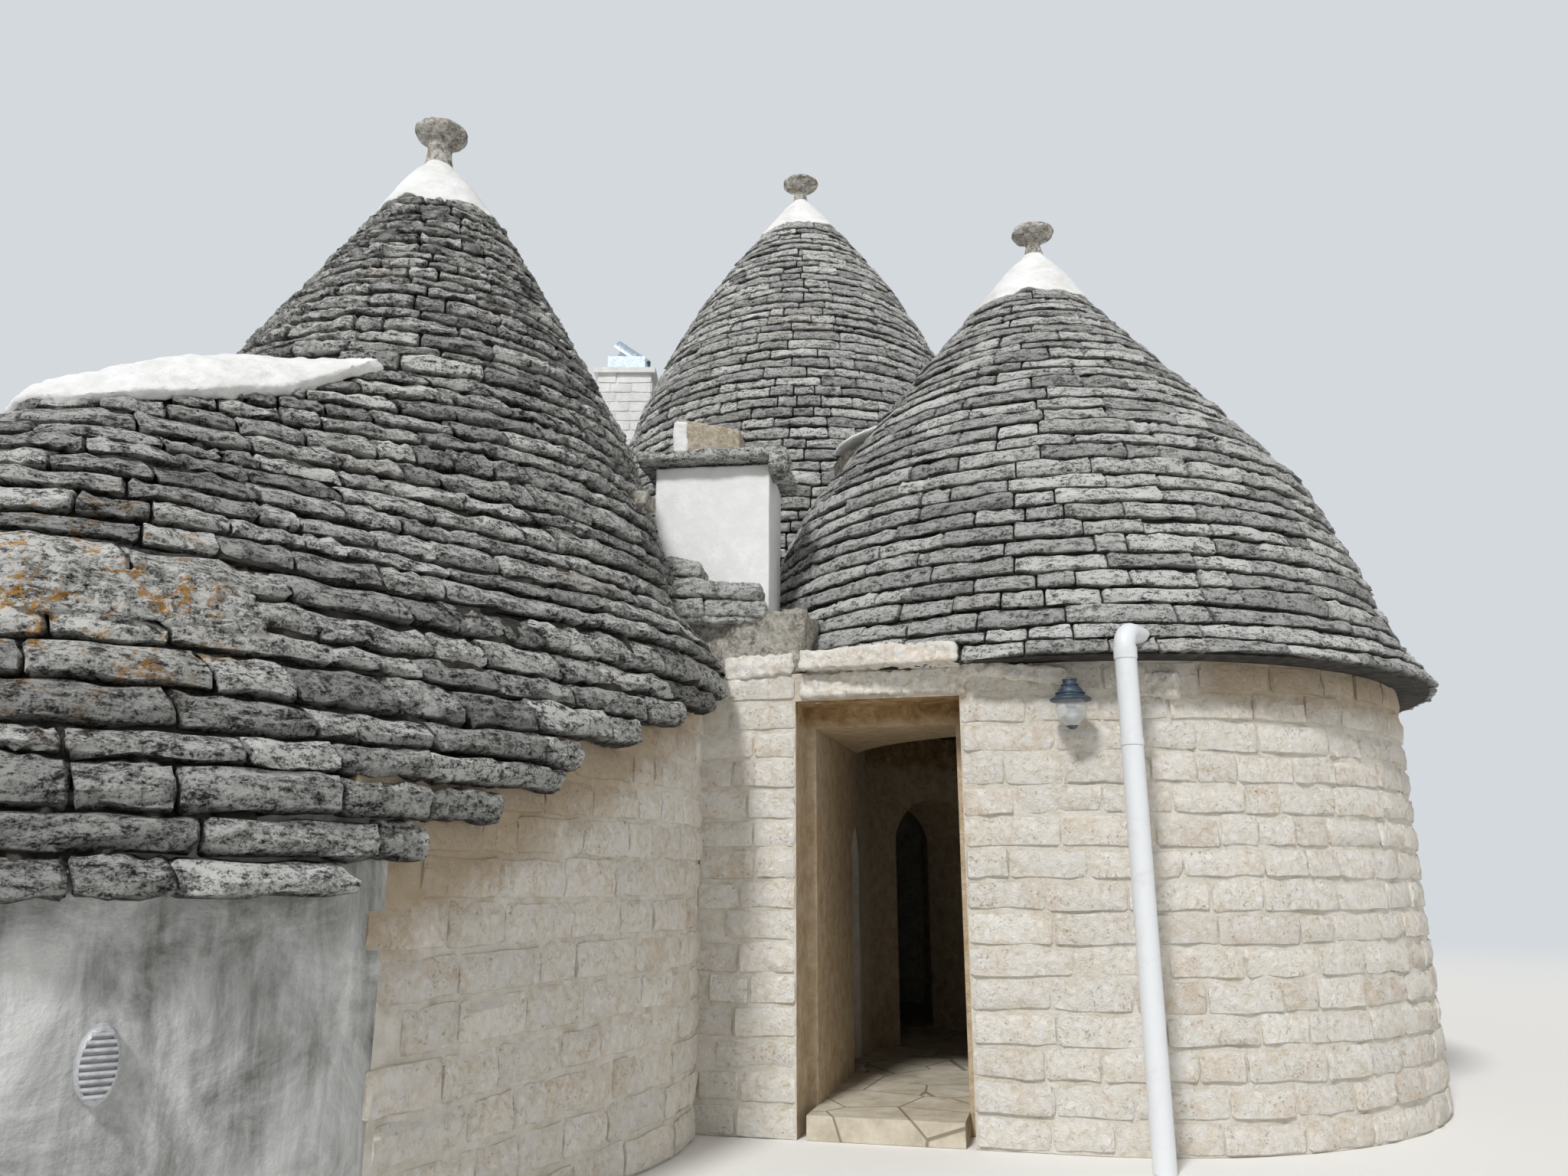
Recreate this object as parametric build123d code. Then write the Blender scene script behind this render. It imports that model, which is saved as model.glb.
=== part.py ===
from build123d import *
import os
from dataclasses import dataclass
from math import acos, atan2, cos, degrees, hypot, pi, radians, sin, sqrt

# A trullo house of three corbelled stone cones on thick limestone walls, in millimetres.
# The origin is on the ground under the front cone's axis, with +Z up and +Y away from the doorway.

# Front room and its cone, over the doorway wall
front_room_radius = 1450
front_wall = 750
front_overhang = 250
front_eave_height = 2450
front_shoulder_radius = 2270
front_shoulder_height = 2750
front_knee_radius = 1850
front_knee_height = 3850
front_low_bulge = 15
front_high_bulge = 10
front_cap_radius = 500
front_cap_base = 5610
front_cap_tip = 6200
front_crown_height = 4950
front_base_lean = 25
front_tip_lean = 62
front_disc_radius = 168
front_neck_radius = 61
front_finial_height = 240
front_underside = 0.667
front_rim = 0.767
front_rim_top = 0.9

# Rear room and its cone, the tallest
rear_x = -1754
rear_y = 3090
rear_room_radius = 1450
rear_wall = 700
rear_overhang = 250
rear_eave_height = 3000
rear_shoulder_radius = 2170
rear_shoulder_height = 3700
rear_knee_radius = 1700
rear_knee_height = 6000
rear_low_bulge = 95
rear_high_bulge = 95
rear_cap_radius = 480
rear_cap_base = 8160
rear_cap_tip = 8720
rear_crown_height = 7400
rear_base_lean = 0
rear_tip_lean = -15
rear_disc_radius = 196
rear_neck_radius = 70
rear_finial_height = 265
rear_underside = 0.7
rear_rim = 0.83
rear_rim_top = 0.87

# Left room and its cone
left_x = -4156
left_y = -1710
left_room_radius = 1100
left_wall = 620
left_overhang = 140
left_eave_height = 2450
left_shoulder_radius = 1590
left_shoulder_height = 2780
left_knee_radius = 1235
left_knee_height = 3900
left_low_bulge = 15
left_high_bulge = 10
left_cap_radius = 385
left_cap_base = 5360
left_cap_tip = 5830
left_crown_height = 4750
left_base_lean = -20
left_tip_lean = -62
left_disc_radius = 168
left_neck_radius = 82
left_finial_height = 295
left_underside = 0.66
left_rim = 0.8
left_rim_top = 0.86

# Lower lobe that runs into the left cone, over an alcove
lobe_x = -4956
lobe_y = -3310
lobe_room_radius = 1150
lobe_wall = 650
lobe_overhang = 150
lobe_eave_height = 1250
lobe_spring_height = 1600
lobe_crown_height = 2950
lobe_bulge = 200
lobe_neck_radius = 500
lobe_neck_height = 3220
lobe_top_radius = 60
lobe_top_rise = 480
lobe_top_bulge = 70
lobe_skirt_flare = 90
lobe_tuck = 40
ridge_depth = 250

# Inside faces of the corbelled vaults
crown_radius = 150
vault_bulge = 200

# Bands of courses in the roofs, each of which steps in over the one below
band_height = 450
course_step = 30

# Straight runs in the lobe's blended body and in the vaults
loft_bands = 3
vault_bands = 4

# Whitewashed tips and carved finials
cap_drip = 12
neck_flare = 8
finial_steps = 4

# Facade, turned against the X axis, and the wall top that rises between left and front cone
facade_turn = -13.8
facade_left_reach = 2400
facade_depth = 1100
parapet_height = 180
parapet_start = -1150
valley_wall_height = 380
valley_wall_front = 1500
valley_wall_back = 1350

# Where the round walls are divided, as angles about their room
front_splits = (-45, 35)
rear_split = 120

# Doorway
door_x = -944
door_width = 820
door_head_height = 2170
recess_margin = 52
recess_depth = 300
recess_height = 2290
threshold_height = 120
floor_thickness = 100

# Arched ways between the rooms; each cut starts inside the rooms, at this share of their radius
passage_offset = 500
passage_width = 700
passage_spring = 1500
passage_rise = 250
rear_arch_width = 900
rear_arch_spring = 1650
rear_arch_rise = 300
inside_share = 0.6

# Large flat stones stepping up on the valley wall
slab_course = 100
slab_depth = 330
slab_lengths = (780, 700, 380)

# Fill in the valley between front and rear cone
fill_radius = 870
fill_depth = 730
fill_rise = 410
fill_whitewash = 130
halvings = 30

# White chimney between the cones
chimney_x = -2378
chimney_y = -1120
chimney_turn = -6.6
chimney_width = 740
chimney_depth = 600
chimney_top = 3860
chimney_flue_width = 380
chimney_flue_depth = 266
chimney_flue_start = 3330
chimney_slab_overhang = 105
chimney_slab_thickness = 120
chimney_block_width = 550
chimney_block_depth = 300
chimney_block_height = 220
chimney_block_low_height = 130

# White brick flue stack beside the rear cone
flue_x = -3770
flue_y = 3990
flue_side = 600
flue_bore = 300
flue_top = 6900
flue_slab_overhang = 50
flue_slab_thickness = 60
cowl_side = 430
cowl_height = 200
hood_radius = 140
hood_length = 420
hood_sheet = 8
hood_tilt = 35
hood_lift = 40

# White vent pipe beside the doorway
pipe_x = -209
pipe_y = -2510
pipe_radius = 55
pipe_skin = 3.2
pipe_bend = 85
pipe_bend_height = 2460
pipe_outlet = 220
pipe_outlet_turn = 50
socket_skin = 4
socket_length = 60
lower_socket_length = 30
lower_socket_height = 1960

# Wall lantern right of the doorway
lantern_x = 111
lantern_reach = 160
lantern_bottom = 2080
lantern_glass_height = 140
lantern_cap_height = 77
lantern_knob_height = 38
lantern_cap_radius = 108
lantern_knob_radius = 34
lantern_tip_radius = 17
lantern_glass_radius = 72
lantern_glass_foot = 25
lantern_glass_bulge = 30
lantern_glass_steps = 3
lantern_cap_hollow = 25
lantern_arm = 9
lantern_plate_radius = 35
lantern_plate_proud = 12
wall_entry = 40

# Oval light on the lobe's wall
bulkhead_turn = -54.1
bulkhead_height = 800
bulkhead_width = 115
bulkhead_tall = 220
bulkhead_depth = 60


def arc_radius(low_radius, low_height, high_radius, high_height, bulge, height):
    """Radius at a height on an arc that swells outward from its chord."""
    width = low_radius - high_radius
    rise = high_height - low_height
    chord = hypot(width, rise)
    arc = (chord * chord / 4 + bulge * bulge) / (2 * bulge)
    middle_radius = (low_radius + high_radius) / 2
    middle_height = (low_height + high_height) / 2
    centre_radius = middle_radius - (arc - bulge) * rise / chord
    centre_height = middle_height - (arc - bulge) * width / chord
    return centre_radius + sqrt(arc * arc - (height - centre_height) ** 2)


def steps(low, high, count):
    """Evenly spaced values from low to high."""
    return [low + (high - low) * step / count for step in range(count + 1)]


def swelling(low_radius, low_height, high_radius, high_height, bulge, count=None):
    """Points of radius and height along such an arc, a band of courses apart unless a count is given."""
    count = count or max(1, round((high_height - low_height) / band_height))
    return [(arc_radius(low_radius, low_height, high_radius, high_height, bulge, height), height)
            for height in steps(low_height, high_height, count)]


def radius_on(profile, height):
    """Radius at a height on a profile of straight runs."""
    for (low_radius, low), (high_radius, high) in zip(profile, profile[1:]):
        if height <= high:
            break
    return low_radius + (height - low) / (high - low) * (high_radius - low_radius)


@dataclass
class Trullo:
    """A round room and the stone cone over it."""
    x: float
    y: float
    room: float
    wall: float
    eave: float
    eave_height: float
    crown_height: float
    profile: list
    cap_tip: float = 0
    base_lean: float = 0
    tip_lean: float = 0
    disc: float = 0
    neck: float = 0
    finial: float = 0
    underside: float = 0
    rim: float = 0
    rim_top: float = 0

    def place(self):
        return Pos(self.x, self.y)


def make_trullo(x, y, room, wall, overhang, eave_height, crown_height, *runs, **tip):
    """A cone whose stone profile runs from the eave through the given swelling runs."""
    eave = room + wall + overhang
    profile = [(eave, eave_height)]
    for run in runs:
        profile += [point for point in run if point[1] > profile[-1][1]]
    return Trullo(x, y, room, room + wall, eave, eave_height, crown_height, profile, **tip)


front = make_trullo(
    0, 0, front_room_radius, front_wall, front_overhang, front_eave_height, front_crown_height,
    swelling(front_shoulder_radius, front_shoulder_height, front_knee_radius, front_knee_height,
             front_low_bulge),
    swelling(front_knee_radius, front_knee_height, front_cap_radius, front_cap_base, front_high_bulge),
    cap_tip=front_cap_tip, base_lean=front_base_lean, tip_lean=front_tip_lean, disc=front_disc_radius,
    neck=front_neck_radius, finial=front_finial_height, underside=front_underside, rim=front_rim,
    rim_top=front_rim_top)
rear = make_trullo(
    rear_x, rear_y, rear_room_radius, rear_wall, rear_overhang, rear_eave_height, rear_crown_height,
    swelling(rear_shoulder_radius, rear_shoulder_height, rear_knee_radius, rear_knee_height, rear_low_bulge),
    swelling(rear_knee_radius, rear_knee_height, rear_cap_radius, rear_cap_base, rear_high_bulge),
    cap_tip=rear_cap_tip, base_lean=rear_base_lean, tip_lean=rear_tip_lean, disc=rear_disc_radius,
    neck=rear_neck_radius, finial=rear_finial_height, underside=rear_underside, rim=rear_rim,
    rim_top=rear_rim_top)
left = make_trullo(
    left_x, left_y, left_room_radius, left_wall, left_overhang, left_eave_height, left_crown_height,
    swelling(left_shoulder_radius, left_shoulder_height, left_knee_radius, left_knee_height, left_low_bulge),
    swelling(left_knee_radius, left_knee_height, left_cap_radius, left_cap_base, left_high_bulge),
    cap_tip=left_cap_tip, base_lean=left_base_lean, tip_lean=left_tip_lean, disc=left_disc_radius,
    neck=left_neck_radius, finial=left_finial_height, underside=left_underside, rim=left_rim,
    rim_top=left_rim_top)
lobe_eave_radius = lobe_room_radius + lobe_wall + lobe_overhang
lobe_top_height = lobe_neck_height + lobe_top_rise
ridge_height = lobe_top_height - ridge_depth
lobe = make_trullo(
    lobe_x, lobe_y, lobe_room_radius, lobe_wall, lobe_overhang, lobe_eave_height, lobe_crown_height,
    swelling(lobe_eave_radius, lobe_eave_height, lobe_neck_radius, lobe_neck_height, lobe_bulge),
    swelling(lobe_neck_radius, lobe_neck_height, lobe_top_radius, lobe_top_height, lobe_top_bulge))

facade = Rot(0, 0, facade_turn)
passage_line = Rot(0, 0, degrees(atan2(left.y, left.x)))
rear_line = Rot(0, 0, degrees(atan2(rear.y, rear.x)))
left_axis = Pos(left.x, left.y) * Rot(0, 0, degrees(atan2(lobe.y - left.y, lobe.x - left.x)))
left_distance = hypot(left.x, left.y)
rear_distance = hypot(rear.x, rear.y)
lobe_distance = hypot(lobe.x - left.x, lobe.y - left.y)
far = 4 * lobe_eave_radius


def turned(points):
    """A body turned about the upright axis from a closed outline of radius and height."""
    return revolve(Plane.XZ * make_face(Polyline(*points, close=True)), Axis.Z)


def revolved(cone, points):
    return cone.place() * turned(points)


def rectangle(x_low, x_high, y_low, y_high):
    return Pos((x_low + x_high) / 2, (y_low + y_high) / 2) * Rectangle(x_high - x_low, y_high - y_low)


def box(x_low, x_high, y_low, y_high, z_low, z_high):
    return Pos(0, 0, z_low) * extrude(rectangle(x_low, x_high, y_low, y_high), amount=z_high - z_low)


def disc(cone, radius):
    return cone.place() * Circle(radius)


def sector(x, y, start, end):
    """A wedge of plan about a point, between two angles under 180 degrees apart."""
    middle = (start + end) / 2
    points = [(0, 0)]
    for angle in (start, middle, end):
        points.append((far * cos(radians(angle)), far * sin(radians(angle))))
    return Pos(x, y) * make_face(Polyline(*points, close=True))


def hull_plan(left_radius, lobe_radius):
    """The outline round two circles, at the left cone's and the lobe's centres."""
    side = acos((left_radius - lobe_radius) / lobe_distance)
    away = (cos(side), sin(side))
    near_top = (left_radius * away[0], left_radius * away[1])
    near_low = (near_top[0], -near_top[1])
    far_top = (lobe_distance + lobe_radius * away[0], lobe_radius * away[1])
    far_low = (far_top[0], -far_top[1])
    edges = [ThreePointArc(near_low, (-left_radius, 0), near_top), Line(near_top, far_top),
             ThreePointArc(far_top, (lobe_distance + lobe_radius, 0), far_low), Line(far_low, near_low)]
    return left_axis * make_face(edges)


def envelope(cone):
    """The cone's whole outer form from the eave up to the foot of its cap, in stepping bands."""
    outline = [(0, cone.profile[-1][1]), (0, cone.eave_height), cone.profile[0]]
    for radius, height in cone.profile[1:-1]:
        outline += [(radius + course_step / 2, height), (radius - course_step / 2, height)]
    return revolved(cone, outline + cone.profile[-1:])


def room_space(cone, spring_height):
    """The hollow of a room and its vault."""
    vault = swelling(cone.room, spring_height, crown_radius, cone.crown_height, vault_bulge, vault_bands)
    return revolved(cone, [(0, cone.crown_height), (0, 0), (cone.room, 0), *vault])


def lobe_skirt():
    """The stone skirt round left cone and lobe, below the left cone's level eave."""
    outlines = []
    for height in steps(lobe.eave_height, left.eave_height, loft_bands):
        drop = (left.eave_height - height) / (left.eave_height - lobe.eave_height)
        left_radius = left.eave + drop * lobe_skirt_flare
        outlines.append(Pos(0, 0, height) * hull_plan(left_radius, radius_on(lobe.profile, height)))
    return loft(outlines, ruled=True)


def lobe_body(*heights):
    """The lobe blended into the left cone by level outlines that run just under the cone's face."""
    outlines = []
    for height in heights:
        left_radius = radius_on(left.profile, height) - lobe_tuck
        outlines.append(Pos(0, 0, height) * hull_plan(left_radius, radius_on(lobe.profile, height)))
    return loft(outlines, ruled=True)


def arched_opening(width, spring_height, rise, start, end, offset=0):
    """An arched way along +X from start to end, standing on the ground."""
    half = width / 2
    outline = [Polyline((half, spring_height), (half, 0), (-half, 0), (-half, spring_height)),
               ThreePointArc((-half, spring_height), (0, spring_height + rise), (half, spring_height))]
    return Pos(start, offset) * extrude(Plane.YZ * make_face(outline), amount=end - start)


# The hollows
from_front = front.room * inside_share
to_left = left_distance - left.room * inside_share
to_rear = rear_distance - rear.room * inside_share
front_space = room_space(front, front.eave_height)
rear_space = room_space(rear, rear.eave_height)
left_space = room_space(left, left.eave_height)
lobe_space = room_space(lobe, lobe_spring_height)
passage_space = passage_line * arched_opening(
    passage_width, passage_spring, passage_rise, from_front, to_left, -passage_offset)
rear_arch_space = rear_line * arched_opening(
    rear_arch_width, rear_arch_spring, rear_arch_rise, from_front, to_rear)

# Plans of the rooms, of the strips where a way passes, and of the walls
room_plan = disc(front, front.room) + disc(rear, rear.room) + disc(left, left.room) + disc(lobe, lobe.room)
door_strip = facade * rectangle(door_x - door_width / 2, door_x + door_width / 2, -far, 0)
passage_strip = passage_line * rectangle(from_front, to_left, -passage_offset - passage_width / 2,
                                         -passage_offset + passage_width / 2)
rear_strip = rear_line * rectangle(from_front, to_rear, -rear_arch_width / 2, rear_arch_width / 2)
before_passage = passage_line * rectangle(-far, far, -passage_offset, far)
behind_passage = passage_line * rectangle(-far, far, -far, -passage_offset)
behind_facade = facade * rectangle(-far, far, -front.wall, far)
facade_fill = facade * rectangle(-facade_left_reach, 0, -front.wall, facade_depth - front.wall)
link_strip = passage_line * rectangle(front.room, to_left, -valley_wall_back, valley_wall_front)
left_plan = hull_plan(left.wall, lobe.wall)
front_plan = (disc(front, front.wall) + facade_fill) - left_plan
link_plan = (link_strip & behind_facade) - left_plan - front_plan
rear_plan = disc(rear, rear.wall) - front_plan - left_plan

front_ring = front_plan - room_plan - door_strip - passage_strip - rear_strip
link_ring = link_plan - passage_strip
left_ring = left_plan - room_plan - passage_strip
rear_ring = rear_plan - room_plan - rear_strip


def wall(plan, height):
    return extrude(plan, amount=height)


def doorway_recess():
    reach = door_width / 2 + recess_margin
    return facade * box(door_x - reach, door_x + reach, -far, -front.wall + recess_depth, 0, recess_height)


def front_walls():
    """The front room's walls, in segments about its axis, named by where they stand."""
    door_angle = facade_turn + degrees(atan2(-front.wall, door_x))
    passage_angle = degrees(atan2(left.y, left.x)) + 360
    rear_angle = degrees(atan2(rear.y, rear.x))
    right_start, right_end = front_splits
    left_of_door = facade * rectangle(-far, door_x, -far, 0)
    recess = doorway_recess()
    height = front.eave_height
    left_side = front_ring & behind_passage & sector(0, 0, rear_angle, passage_angle)
    return {
        "wall_door_left": wall(front_ring & before_passage & left_of_door, height) - recess,
        "wall_door_right": wall(front_ring & sector(0, 0, door_angle, right_start), height) - recess,
        "wall_front_right": wall(front_ring & sector(0, 0, right_start, right_end), height),
        "wall_front_back": wall(front_ring & sector(0, 0, right_end, rear_angle), height),
        "wall_front_left": wall(left_side, height),
    }


def doorway_lintel():
    over = Pos(0, 0, door_head_height) * wall((front_plan - room_plan) & door_strip,
                                              front.eave_height - door_head_height)
    return over - doorway_recess()


def passage_walls():
    """Masonry between left and front room, behind and over the passage."""
    whole = (front_plan + link_plan + left_plan) - room_plan - door_strip
    return {
        "passage_back": wall(link_ring & behind_passage, front.eave_height),
        "passage_vault": wall(whole & passage_strip, front.eave_height) - passage_space,
    }


def rear_arch():
    whole = (front_plan + rear_plan) - room_plan
    return wall(whole & rear_strip, front.eave_height) - rear_arch_space


def under_eave_line():
    """Everything below the left roof's edge, which climbs from the lobe's front to the level eave."""
    lobe_front = lobe.y - lobe.eave
    start = lobe_front - lobe.eave
    slope = (left.eave_height - lobe.eave_height) / (left.y - lobe_front)
    start_height = lobe.eave_height - slope * lobe.eave
    outline = Polyline((start, 0), (far, 0), (far, left.eave_height), (left.y, left.eave_height),
                       (start, start_height), close=True)
    return Pos(-far, 0, 0) * extrude(Plane.YZ * make_face(outline), amount=far)


def left_walls():
    """The walls under the left cone and its lobe, with tops that follow the climbing eave."""
    inside = under_eave_line()
    height = left.eave_height
    away_from_lobe = left_axis * rectangle(-far, 0, -far, far)
    pieces = {
        "wall_left_corner": left_ring & away_from_lobe & before_passage,
        "wall_left_back": left_ring & away_from_lobe & behind_passage,
        "wall_left_east": left_ring & (left_axis * rectangle(0, lobe_distance, 0, far)),
        "wall_left_west": left_ring & (left_axis * rectangle(0, lobe_distance, -far, 0)),
        "wall_lobe_front": left_ring & (left_axis * rectangle(lobe_distance, far, -far, far)),
    }
    return {name: wall(plan, height) & inside for name, plan in pieces.items()}


def rear_walls():
    """The round wall under the rear cone, outside the front room's wall and roof."""
    towards_front = degrees(atan2(rear.y, rear.x)) + 180
    front_roof = envelope(front)
    nodes = {}
    for turn, side in enumerate(("right", "back", "left")):
        start = towards_front + turn * rear_split
        plan = rear_ring & sector(rear.x, rear.y, start, start + rear_split)
        nodes["wall_rear_" + side] = wall(plan, rear.eave_height) - front_roof
    return nodes


def valley_wall():
    """The raised wall top between left and front cone, with the low parapet beside it."""
    base = front.eave_height
    link = (link_strip & behind_facade)
    parapet = facade * rectangle(-facade_left_reach, parapet_start, -front.wall, facade_depth - front.wall)
    body = Pos(0, 0, base) * extrude(link, amount=valley_wall_height)
    body += Pos(0, 0, base) * extrude(parapet, amount=parapet_height)
    return body - envelope(front) - envelope(left)


def valley_slabs():
    """Three courses of large flat stones stepping up on the valley wall, in front of the chimney."""
    base = front.eave_height + valley_wall_height
    left_end = chimney_x + chimney_width / 2 - slab_lengths[0]
    face = chimney_y - chimney_depth / 2 - slab_depth
    body = Part()
    for course, length in enumerate(slab_lengths):
        low = base + course * slab_course
        body += box(left_end, left_end + length, face, face + slab_depth, low, low + slab_course)
    return body - envelope(left) - chimney_outline()


def roof(cone, space):
    return envelope(cone) - space


def roofs():
    front_roof = roof(front, front_space) - rear_space
    rear_roof = roof(rear, rear_space) - envelope(front) - front_space
    left_roof = roof(left, left_space) - lobe_space
    shoulder_height = left.profile[1][1]
    shoulder = lobe_skirt()
    shoulder += lobe_body(left.eave_height, *steps(shoulder_height, ridge_height, loft_bands))
    shoulder = shoulder - envelope(left) - left_space - lobe_space - under_eave_line()
    ridge = lobe_body(*steps(ridge_height, lobe_top_height, loft_bands)) - envelope(left)
    return {"roof_front": front_roof, "roof_rear": rear_roof, "roof_left": left_roof, "roof_lobe": shoulder,
            "ridge_whitewash": ridge}


def saddle_height():
    """The height at which front and rear cone meet between their axes."""
    low, high = rear.eave_height, front.profile[-1][1]
    for halving in range(halvings):
        height = (low + high) / 2
        if radius_on(front.profile, height) + radius_on(rear.profile, height) > rear_distance:
            low = height
        else:
            high = height
    return low


def valley_fill():
    """Masonry in the valley between front and rear cone, and its whitewashed top."""
    saddle = saddle_height()
    fill_bottom = saddle - fill_depth
    fill_top = saddle + fill_rise
    front_radius = radius_on(front.profile, fill_top)
    rear_radius = radius_on(rear.profile, fill_top)
    middle = front_radius + (rear_distance - front_radius - rear_radius) / 2
    plan = Pos(middle, 0) * Circle(fill_radius)
    low = Pos(0, 0, fill_bottom) * extrude(plan, amount=fill_top - fill_bottom)
    high = Pos(0, 0, fill_top) * extrude(plan, amount=fill_whitewash)
    return {
        "valley_fill": rear_line * low - envelope(front) - envelope(rear),
        "valley_whitewash": rear_line * high - envelope(front) - envelope(rear),
    }


def cap(cone):
    """The whitewashed tip, a little proud of the stones at its foot, which leans a little."""
    cap_radius, cap_base = cone.profile[-1]
    foot = Pos(cone.x + cone.base_lean, cone.y, cap_base) * Circle(cap_radius + cap_drip)
    tip = Pos(cone.x + cone.tip_lean, cone.y, cone.cap_tip) * Circle(cone.neck + neck_flare)
    return loft([foot, tip], ruled=True)


def pinnacle(cone):
    """The carved finial: a neck under a thick round disc, rounded below its rim and domed over it."""
    base = cone.cap_tip
    under, rim, rim_top = (base + share * cone.finial for share in (cone.underside, cone.rim, cone.rim_top))
    top = base + cone.finial
    points = [(0, base), (cone.neck + neck_flare, base), (cone.neck, (base + under) / 2)]
    for angle in steps(0, pi / 2, finial_steps):
        points.append((cone.neck + (cone.disc - cone.neck) * sin(angle), rim - (rim - under) * cos(angle)))
    for angle in steps(0, pi / 2, finial_steps):
        points.append((cone.disc * cos(angle), rim_top + (top - rim_top) * sin(angle)))
    points[-1] = (0, top)
    return Pos(cone.tip_lean) * revolved(cone, points)


def chimney_outline():
    return (Pos(chimney_x, chimney_y) * Rot(0, 0, chimney_turn)
            * box(-chimney_width / 2, chimney_width / 2, -chimney_depth / 2, chimney_depth / 2,
                  front.eave_height + valley_wall_height, chimney_top))


def chimney_block(base):
    """The tufa block on the slab, whose top slopes down to the right."""
    half = chimney_block_width / 2
    outline = Polyline((-half, base), (half, base), (half, base + chimney_block_low_height),
                       (-half, base + chimney_block_height), close=True)
    block = extrude(Plane.XZ * make_face(outline), amount=chimney_block_depth)
    return Pos(0, chimney_block_depth / 2) * block


def chimney():
    """The plastered shaft with its flue, the rough slab over it and the tufa block on top."""
    place = Pos(chimney_x, chimney_y) * Rot(0, 0, chimney_turn)
    half_width = chimney_width / 2 + chimney_slab_overhang
    half_depth = chimney_depth / 2 + chimney_slab_overhang
    slab_top = chimney_top + chimney_slab_thickness
    flue = place * box(-chimney_flue_width / 2, chimney_flue_width / 2, -chimney_flue_depth / 2,
                       chimney_flue_depth / 2, chimney_flue_start, chimney_top)
    return {
        "chimney_shaft": chimney_outline() - envelope(left) - envelope(front) - flue,
        "chimney_slab": place * box(-half_width, half_width, -half_depth, half_depth, chimney_top, slab_top),
        "chimney_block": place * chimney_block(slab_top),
    }


def flue_stack():
    """The brick stack from the ground up beside the rear wall, its slab and its sheet-metal cowl."""
    place = Pos(flue_x, flue_y)
    half = flue_side / 2
    slab_half = half + flue_slab_overhang
    slab_top = flue_top + flue_slab_thickness
    bore_half = flue_bore / 2
    bore = place * box(-bore_half, bore_half, -bore_half, bore_half, rear.eave_height, flue_top)
    rear_wall_body = extrude(disc(rear, rear.wall), amount=rear.eave_height)
    shaft = place * box(-half, half, -half, half, 0, flue_top) - envelope(rear) - rear_wall_body - bore
    cowl_half = cowl_side / 2
    cowl = box(-cowl_half, cowl_half, -cowl_half, cowl_half, slab_top, slab_top + cowl_height)
    sheet = (Circle(hood_radius) - Circle(hood_radius - hood_sheet)) & rectangle(-far, far, 0, far)
    hood = extrude(Plane.XZ * sheet, amount=hood_length / 2, both=True)
    hood = Pos(0, 0, slab_top + cowl_height + hood_lift) * Rot(0, hood_tilt, 0) * Rot(0, 0, 90) * hood
    return {
        "flue_shaft": shaft,
        "flue_slab": place * box(-slab_half, slab_half, -slab_half, slab_half, flue_top, slab_top),
        "flue_cowl": place * (cowl + hood),
    }


def vent_pipe():
    """A plastic pipe from the ground to an elbow whose outlet ends against the front cone."""
    top = (0, 0, pipe_bend_height)
    corner = (pipe_bend, 0, pipe_bend_height + pipe_bend)
    turn = (pipe_bend * (1 - cos(radians(45))), 0, pipe_bend_height + pipe_bend * sin(radians(45)))
    end = (pipe_bend + pipe_outlet, 0, pipe_bend_height + pipe_bend)
    route = Line((0, 0, 0), top) + ThreePointArc(top, turn, corner) + Line(corner, end)
    tube = sweep(Circle(pipe_radius), path=route)
    for height, length in ((pipe_bend_height - socket_length, socket_length),
                           (lower_socket_height, lower_socket_length)):
        tube += Pos(0, 0, height) * extrude(Circle(pipe_radius + socket_skin), amount=length)
    tube -= sweep(Circle(pipe_radius - pipe_skin), path=route)
    return Pos(pipe_x, pipe_y) * Rot(0, 0, pipe_outlet_turn) * tube - envelope(front)


def lantern():
    """A hanging lantern on a short arm: a flared metal cap over a tapering glass."""
    wall_face = -sqrt(front.wall ** 2 - lantern_x ** 2)
    place = facade * Pos(lantern_x, wall_face - lantern_reach)
    glass_top = lantern_bottom + lantern_glass_height
    cap_top = glass_top + lantern_cap_height
    knob_top = cap_top + lantern_knob_height
    glass_side = swelling(lantern_glass_radius, lantern_bottom, lantern_glass_foot, glass_top,
                          lantern_glass_bulge, lantern_glass_steps)
    widening = [(radius, lantern_bottom + glass_top - height) for radius, height in reversed(glass_side)]
    glass = turned([(0, glass_top), (0, lantern_bottom), *widening])
    brim_middle = ((lantern_cap_radius + lantern_knob_radius) / 2 - lantern_cap_hollow / 2,
                   (glass_top + cap_top) / 2 - lantern_cap_hollow / 2)
    body = turned([(0, knob_top), (0, glass_top), (lantern_cap_radius, glass_top), brim_middle,
                   (lantern_knob_radius, cap_top), (lantern_tip_radius, knob_top)])
    arm_height = cap_top + lantern_arm / 2
    along_wall = (Align.CENTER, Align.CENTER, Align.MIN)
    body += Pos(0, 0, arm_height) * Rot(-90, 0, 0) * Cylinder(lantern_arm, lantern_reach + wall_entry,
                                                             align=along_wall)
    plate_length = lantern_plate_proud + wall_entry
    plate = Rot(-90, 0, 0) * Cylinder(lantern_plate_radius, plate_length, align=along_wall)
    body += Pos(0, lantern_reach - lantern_plate_proud, arm_height) * plate
    wall_drum = extrude(disc(front, front.wall), amount=front.eave_height)
    return {"lantern_body": place * body - wall_drum, "lantern_glass": place * glass}


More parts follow.
